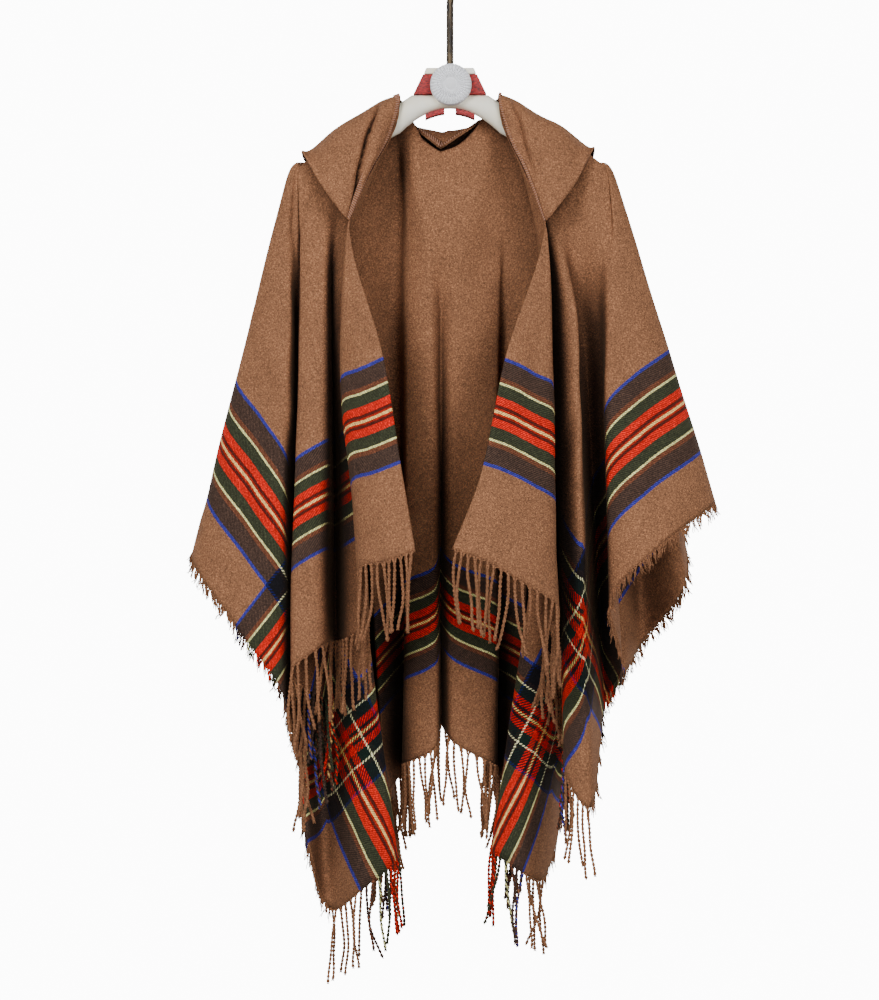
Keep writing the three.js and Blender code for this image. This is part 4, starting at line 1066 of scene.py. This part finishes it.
CAMEL = linear(138, 95, 67)
TWILL = 3.2               # width of one diagonal of the weave that shows, in millimetres
DASH = 4.6                # the same where two bands cross
FOLD_REACH = 90           # how far off the far side of a fold still shades it
# Half of the symmetric band of stripes from its middle out: where each stripe ends in millimetres,
# its colour alone, and its colour where two bands cross.
STRIPES = [
    (1.7, linear(236, 192, 118), linear(236, 200, 110)),
    (4.0, linear(170, 36, 20), linear(190, 20, 10)),
    (8.0, linear(80, 26, 20), linear(44, 10, 10)),
    (18.0, linear(206, 30, 14), linear(214, 14, 8)),
    (32.3, linear(52, 56, 40), linear(10, 30, 24)),
    (35.2, linear(218, 216, 148), linear(232, 230, 180)),
    (41.0, linear(104, 62, 44), linear(34, 22, 20)),
    (61.2, linear(66, 50, 43), linear(13, 13, 20)),
    (65.5, linear(50, 50, 142), linear(16, 22, 84)),
]
HALF_BAND = STRIPES[-1][0]
SIDE_BAND = 472.5         # middle of the band along each side, from the slit
FRONT_BAND = 429.5        # middle of the band above the front hem, from the shoulder line
BACK_BAND = 684.5


class Nodes:
    """A material being built, with short names for its nodes."""

    def __init__(self, name, color, roughness, metallic=0.0):
        self.material = bpy.data.materials.new(name)
        self.material.use_nodes = True
        self.tree = self.material.node_tree
        self.shader = self.tree.nodes["Principled BSDF"]
        self.give("Base Color", color)
        self.give("Roughness", roughness)
        self.give("Metallic", metallic)

    def put(self, value, socket):
        if isinstance(value, bpy.types.NodeSocket):
            self.tree.links.new(value, socket)
        elif value is not None:
            socket.default_value = value

    def give(self, key, value):
        """Gives the shader's input a value, or the output of a node."""
        self.put(value, self.shader.inputs[key])

    def new(self, kind, inputs, **settings):
        """A new node with its settings, and the values or outputs put in its inputs."""
        node = self.tree.nodes.new(f"ShaderNode{kind}")
        for setting, value in settings.items():
            setattr(node, setting, value)
        for key, value in inputs.items():
            self.put(value, node.inputs[key])
        return node

    def math(self, operation, a, b=None, c=None):
        return self.new("Math", {0: a, 1: b, 2: c}, operation=operation).outputs[0]

    def mix(self, share, a, b, kind="MIX"):
        inputs = {"Factor": share, 6: a, 7: b}
        return self.new("Mix", inputs, data_type="RGBA", blend_type=kind).outputs[2]

    def ramp(self, value, stops, interpolation="LINEAR"):
        node = self.new("ValToRGB", {0: value})
        node.color_ramp.interpolation = interpolation
        elements = node.color_ramp.elements
        while len(elements) < len(stops):
            elements.new(0.5)
        for element, (place, color) in zip(elements, stops):
            element.position = place
            element.color = color
        return node

    def tint(self, pattern, stops):
        """Colours the material by a pattern."""
        self.give("Base Color", self.ramp(pattern, stops).outputs[0])

    def noise(self, vector, scale, detail=2.0, roughness=0.5):
        inputs = {"Vector": vector, "Scale": scale, "Detail": detail, "Roughness": roughness}
        return self.new("TexNoise", inputs).outputs[0]

    def occlusion(self, reach):
        """How open a place is to the air around it."""
        return self.new("AmbientOcclusion", {"Distance": reach}, samples=8).outputs["AO"]

    def own_place(self):
        """The place on the flat cloth."""
        return self.new("UVMap", {}, uv_map="cloth").outputs[0]

    def object_place(self, scale=(1, 1, 1)):
        place = self.new("TexCoord", {}).outputs["Object"]
        return self.new("Mapping", {"Vector": place, "Scale": scale}).outputs[0]

    def bump(self, height, distance, strength=1.0):
        inputs = {"Height": height, "Distance": distance, "Strength": strength}
        self.give("Normal", self.new("Bump", inputs).outputs[0])


def band_ramp(cloth, distance, which):
    """Colour of a band by the distance from its middle, clear beyond its edge."""
    scaled = cloth.math("MULTIPLY", distance, 1 / (HALF_BAND * MM))
    # Its last, clear stop lies just inside the ramp's end.
    stops = []
    start = 0.0
    for stripe in STRIPES:
        stops.append((start, stripe[which]))
        start = min(stripe[0] / HALF_BAND, 0.9995)
    stops.append((start, (0, 0, 0, 0)))
    return cloth.ramp(scaled, stops, "CONSTANT")


def diagonals(cloth, along, width):
    """Stripes of 0 and 1 in turn, each half of `width` millimetres wide."""
    turns = cloth.math("FRACT", cloth.math("MULTIPLY", along, 1 / (width * MM)))
    return cloth.math("GREATER_THAN", turns, 0.5)


def banded(cloth, place, s, t):
    """The cloth's colour with its bands along the sides and hems, checked where two cross."""
    wobble = cloth.math("MULTIPLY_ADD", cloth.noise(place, 240, 1.0), 0.0012, -0.0006)
    side = cloth.math("ABSOLUTE", cloth.math("ADD", cloth.math(
        "SUBTRACT", cloth.math("ABSOLUTE", s), SIDE_BAND * MM), wobble))
    front = cloth.math("ABSOLUTE", cloth.math("SUBTRACT", t, FRONT_BAND * MM))
    back = cloth.math("ABSOLUTE", cloth.math("ADD", t, BACK_BAND * MM))
    hem = cloth.math("ABSOLUTE", cloth.math("ADD", cloth.math("MINIMUM", front, back), wobble))
    alone = [band_ramp(cloth, distance, 1) for distance in (side, hem)]
    crossed = [band_ramp(cloth, distance, 2) for distance in (side, hem)]
    twill = diagonals(cloth, cloth.math("ADD", s, t), TWILL)
    hatch = cloth.mix(twill, (0.6, 0.58, 0.6, 1), (1.38, 1.34, 1.26, 1))
    color = CAMEL
    for ramp in alone:
        color = cloth.mix(ramp.outputs[1], color, cloth.mix(1.0, ramp.outputs[0], hatch, "MULTIPLY"))
    both = cloth.math("MULTIPLY", alone[0].outputs[1], alone[1].outputs[1])
    over = diagonals(cloth, cloth.math("SUBTRACT", s, t), DASH)
    checked = cloth.mix(over, crossed[0].outputs[0], crossed[1].outputs[0])
    return cloth.mix(both, color, checked)


def wool(name, relief, paints_shade_in_folds):
    """Napped wool twill, heathered and banded; where asked, painted shade darkens it deep in the folds.
    """
    cloth = Nodes(name, CAMEL, 0.92)
    cloth.give("Sheen Weight", 0.08)
    cloth.give("Sheen Roughness", 0.5)
    cloth.give("Sheen Tint", linear(226, 176, 130))
    cloth.give("Specular IOR Level", 0.2)
    place = cloth.own_place()
    s, t, _ = cloth.new("SeparateXYZ", {0: place}).outputs
    grain = cloth.noise(cloth.object_place(), 520, 4.0, 0.75)
    heather = cloth.ramp(grain, [
        (0.34, (0.42, 0.42, 0.42, 1)), (0.46, (0.84, 0.84, 0.84, 1)),
        (0.54, (1.08, 1.08, 1.08, 1)), (0.66, (2.1, 2.0, 1.9, 1)),
    ]).outputs[0]
    cloudy = cloth.noise(place, 26, 3.0)
    shade = cloth.ramp(cloudy, [(0.3, (0.9, 0.9, 0.9, 1)), (0.7, (1.08, 1.08, 1.08, 1))]).outputs[0]
    color = cloth.mix(1.0, banded(cloth, place, s, t), heather, "MULTIPLY")
    color = cloth.mix(1.0, color, shade, "MULTIPLY")
    # Painted shade: ambient occlusion darkens the colour deep in the folds, where shade falls.
    if paints_shade_in_folds:
        painted_fold_shade = cloth.ramp(cloth.occlusion(FOLD_REACH * MM), [
            (0.05, (0.015, 0.013, 0.011, 1)), (0.32, (0.08, 0.07, 0.065, 1)),
            (0.54, (0.58, 0.55, 0.53, 1)), (0.76, (1, 1, 1, 1))]).outputs[0]
        color = cloth.mix(1.0, color, painted_fold_shade, "MULTIPLY")
    cloth.give("Base Color", color)
    rib = cloth.math("SINE", cloth.math("MULTIPLY", cloth.math("ADD", s, t), 2 * math.pi / (TWILL * MM)))
    height = cloth.math("MULTIPLY_ADD", rib, 0.22, grain)
    cloth.bump(height, relief, 0.75)
    return cloth.material


def thread():
    """Pinkish overlock thread."""
    yarn = Nodes("overlock_thread", linear(178, 128, 108), 0.7)
    fibres = yarn.noise(yarn.object_place(), 1800, 2.0)
    yarn.tint(fibres, [(0.35, linear(146, 98, 80)), (0.65, linear(200, 152, 132))])
    yarn.bump(fibres, 0.0002)
    return yarn.material


def lacquer():
    """Satin cream lacquer over wood, faintly clouded and with fine brush lines."""
    paint = Nodes("cream_lacquer", linear(252, 246, 226), 0.35)
    paint.give("Coat Weight", 0.3)
    cloudy = paint.noise(paint.object_place(), 30, 3.0)
    paint.tint(cloudy, [(0.35, linear(250, 242, 216)), (0.65, linear(255, 251, 236))])
    lines = paint.noise(paint.object_place((60, 900, 900)), 1.0, 2.0)
    paint.give("Roughness", paint.math("MULTIPLY_ADD", lines, 0.16, 0.3))
    paint.bump(lines, 0.00006)
    return paint.material


def red_ribbon():
    """Deep red ribbed ribbon with darker threads between its ribs."""
    ribbon = Nodes("red_ribbon", linear(150, 8, 14), 0.5)
    ribbon.give("Sheen Weight", 0.08)
    threads = ribbon.noise(ribbon.object_place((260, 260, 1500)), 1.0, 3.0)
    ribbon.tint(threads, [
        (0.36, linear(62, 2, 6)), (0.5, linear(148, 8, 14)), (0.66, linear(206, 30, 30))])
    ribbon.bump(threads, 0.0003)
    return ribbon.material


def dark_iron():
    """Dark, faintly worn bronze-black rod."""
    iron = Nodes("dark_iron", linear(46, 40, 34), 0.42, 0.75)
    wear = iron.noise(iron.object_place((300, 300, 60)), 1.0, 4.0)
    iron.tint(wear, [(0.4, linear(30, 27, 24)), (0.72, linear(92, 78, 58))])
    iron.give("Roughness", iron.math("MULTIPLY_ADD", wear, 0.3, 0.25))
    iron.bump(wear, 0.00008)
    return iron.material


def white_satin():
    """White ribbon with a fine uneven weave."""
    satin = Nodes("white_satin", linear(238, 239, 243), 0.6)
    satin.give("Sheen Weight", 0.3)
    weave = satin.noise(satin.object_place(), 1400, 2.0)
    satin.tint(weave, [(0.3, linear(220, 222, 228)), (0.65, linear(246, 246, 248))])
    satin.bump(weave, 0.00015)
    return satin.material


# ---------------------------------------------------------------- stage, light and camera

CAMERA_AWAY = 3.2
CAMERA_LEVEL = -0.7
CAMERA_ASIDE = -0.0132
SENSOR = 36
SEEN = 1.26               # what the long side of the view takes in at the hanger
FLOOR_BELOW = 1.9
FLOOR_HALF = 9
FLOOR_GLOW = 8.5
AMBIENT = 0.2             # what the white surroundings add to the lamps
SURROUNDINGS = 12         # how bright they look
# Each lamp: its name, where it stands, where it points, its size and its power in watts.
LAMPS = [
    ("key", (-1.6, -3.1, 0.8), (0, 0, -0.6), (1.1, 1.3), 98),
    ("fill", (1.5, -3.2, 0.6), (0, 0, -0.6), (1.1, 1.3), 73),
    ("low", (0.1, -3.3, -1.7), (0, 0, -1.2), (1.8, 0.8), 24),
    ("rear_left", (-2.7, 2.6, 0.3), (0, 0, -0.7), (1.4, 1.6), 78),
    ("rear_right", (2.7, 2.6, 0.3), (0, 0, -0.7), (1.4, 1.6), 78),
    ("floor", (0, 0, -2), (0, 0, -3), (4, 4), 60),
]


def camera():
    lens = bpy.data.cameras.new("camera")
    lens.sensor_width = SENSOR
    lens.lens = SENSOR * CAMERA_AWAY / SEEN
    seen = bpy.data.objects.new("camera", lens)
    seen.location = (CAMERA_ASIDE, -CAMERA_AWAY, CAMERA_LEVEL)
    seen.rotation_euler = (math.pi / 2, 0, 0)
    bpy.context.scene.collection.objects.link(seen)
    bpy.context.scene.camera = seen


def stage(low):
    """A wide pale floor, far enough below the hanging poncho to stay out of the front view."""
    level = (low.z - FLOOR_BELOW) / MM
    half = FLOOR_HALF / MM
    corners = [(-half, -half, level), (half, -half, level), (half, half, level), (-half, half, level)]
    floor = piece_of("floor", corners, [(0, 1, 2, 3)])
    paper = Nodes("floor_paper", linear(248, 248, 249), 0.95)
    cloudy = paper.noise(paper.object_place(), 1.5)
    paper.tint(cloudy, [(0.3, linear(247, 247, 248)), (0.7, linear(250, 250, 251))])
    paper.give("Emission Color", (1, 1, 1, 1))
    paper.give("Emission Strength", FLOOR_GLOW)
    floor.data.materials.append(paper.material)
    # The floor is lit for itself alone: its glow reaches no other piece.
    floor.visible_diffuse = False
    floor.visible_glossy = False


def light(name, place, aim, size, power):
    area = bpy.data.lights.new(name, "AREA")
    area.shape = "RECTANGLE"
    area.size, area.size_y = size
    area.energy = power
    lamp = bpy.data.objects.new(name, area)
    lamp.location = place
    lamp.rotation_mode = "QUATERNION"
    lamp.rotation_quaternion = (Vector(aim) - Vector(place)).to_track_quat("-Z", "Y")
    bpy.context.scene.collection.objects.link(lamp)


def studio():
    """White surroundings that look brighter than they light, and the lamps."""
    world = bpy.data.worlds.new("studio")
    world.use_nodes = True
    tree = world.node_tree
    background = tree.nodes["Background"]
    background.inputs["Color"].default_value = (1, 1, 1, 1)
    seen = tree.nodes.new("ShaderNodeLightPath")
    strength = tree.nodes.new("ShaderNodeMath")
    strength.operation = "MULTIPLY_ADD"
    tree.links.new(seen.outputs["Is Camera Ray"], strength.inputs[0])
    strength.inputs[1].default_value = SURROUNDINGS
    strength.inputs[2].default_value = AMBIENT
    tree.links.new(strength.outputs[0], background.inputs["Strength"])
    bpy.context.scene.world = world
    for lamp in LAMPS:
        light(*lamp)


# ---------------------------------------------------------------- the whole


def finish_piece(piece, material, slot, *nodes):
    """Gives a piece its material, and hides the nodes it stands for; slot is not used."""
    piece.data.materials.clear()
    piece.data.materials.append(material)
    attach(piece, "root")
    if nodes:
        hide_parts(*nodes)


def poncho():
    # The body and hood cloth get painted shade deep in their folds; the strands get none.
    fabric = wool("camel_wool", relief=0.0005, paints_shade_in_folds=True)
    strand_wool = wool("twisted_wool", relief=0.0008, paints_shade_in_folds=False)
    grid, places = body_grid()
    body = body_cloth(grid, places)
    finish_piece(body, fabric, "wool", "front_left", "back", "front_right")
    runs = edge_runs(grid, places)
    for name, beyond, seed in (("fringe_front_left", FRONT_LENGTH, 3),
                               ("fringe_back", -BACK_LENGTH, 5),
                               ("fringe_front_right", FRONT_LENGTH, 7)):
        strands = fringe(f"strands_{name[7:]}", runs[name], beyond, seed)
        finish_piece(strands, strand_wool, "fringe", name)
    for name, seed in (("frayed_left", 11), ("frayed_right", 13)):
        hairs = frayed_edge(name, runs[name], seed)
        finish_piece(hairs, strand_wool, "wool")

    hood, left, right = hood_cloth()
    finish_piece(hood, fabric, "wool", "hood_left", "hood_right")
    bands = []
    for side, panel, width in (("left", left, 12), ("right", right, 5)):
        edge, inward = panel[:, 0], panel[:, HOOD_PARTS]
        band, *seam = seam_band(f"neck_seam_{side}", edge, inward, width)
        stitches = overlock(f"overlock_{side}", *seam)
        finish_piece(band, fabric, "wool")
        finish_piece(stitches, thread(), "wool")
        bands += [band, stitches]


def hanger():
    cream, red, satin = lacquer(), red_ribbon(), white_satin()
    finish_piece(hanger_arms(), cream, "cream", "hanger_arms")
    finish_piece(hanger_cap(), cream, "cream", "hanger_cap")
    finish_piece(hanger_sleeve(), red, "red", "hanger_block")
    for side, hand in ((-1, "left"), (1, "right")):
        node = f"hanger_lining_{hand}"
        finish_piece(arch_lining(f"lining_{hand}", node, side), red, "red", node)
    finish_piece(hook(), dark_iron(), "iron", "hook")
    ribbon, button = rosette()
    finish_piece(ribbon, satin, "ribbon", "rosette")
    finish_piece(button, satin, "ribbon", "rosette_button")


camera()
stage(cad_box[0])
studio()
hanger()
poncho()
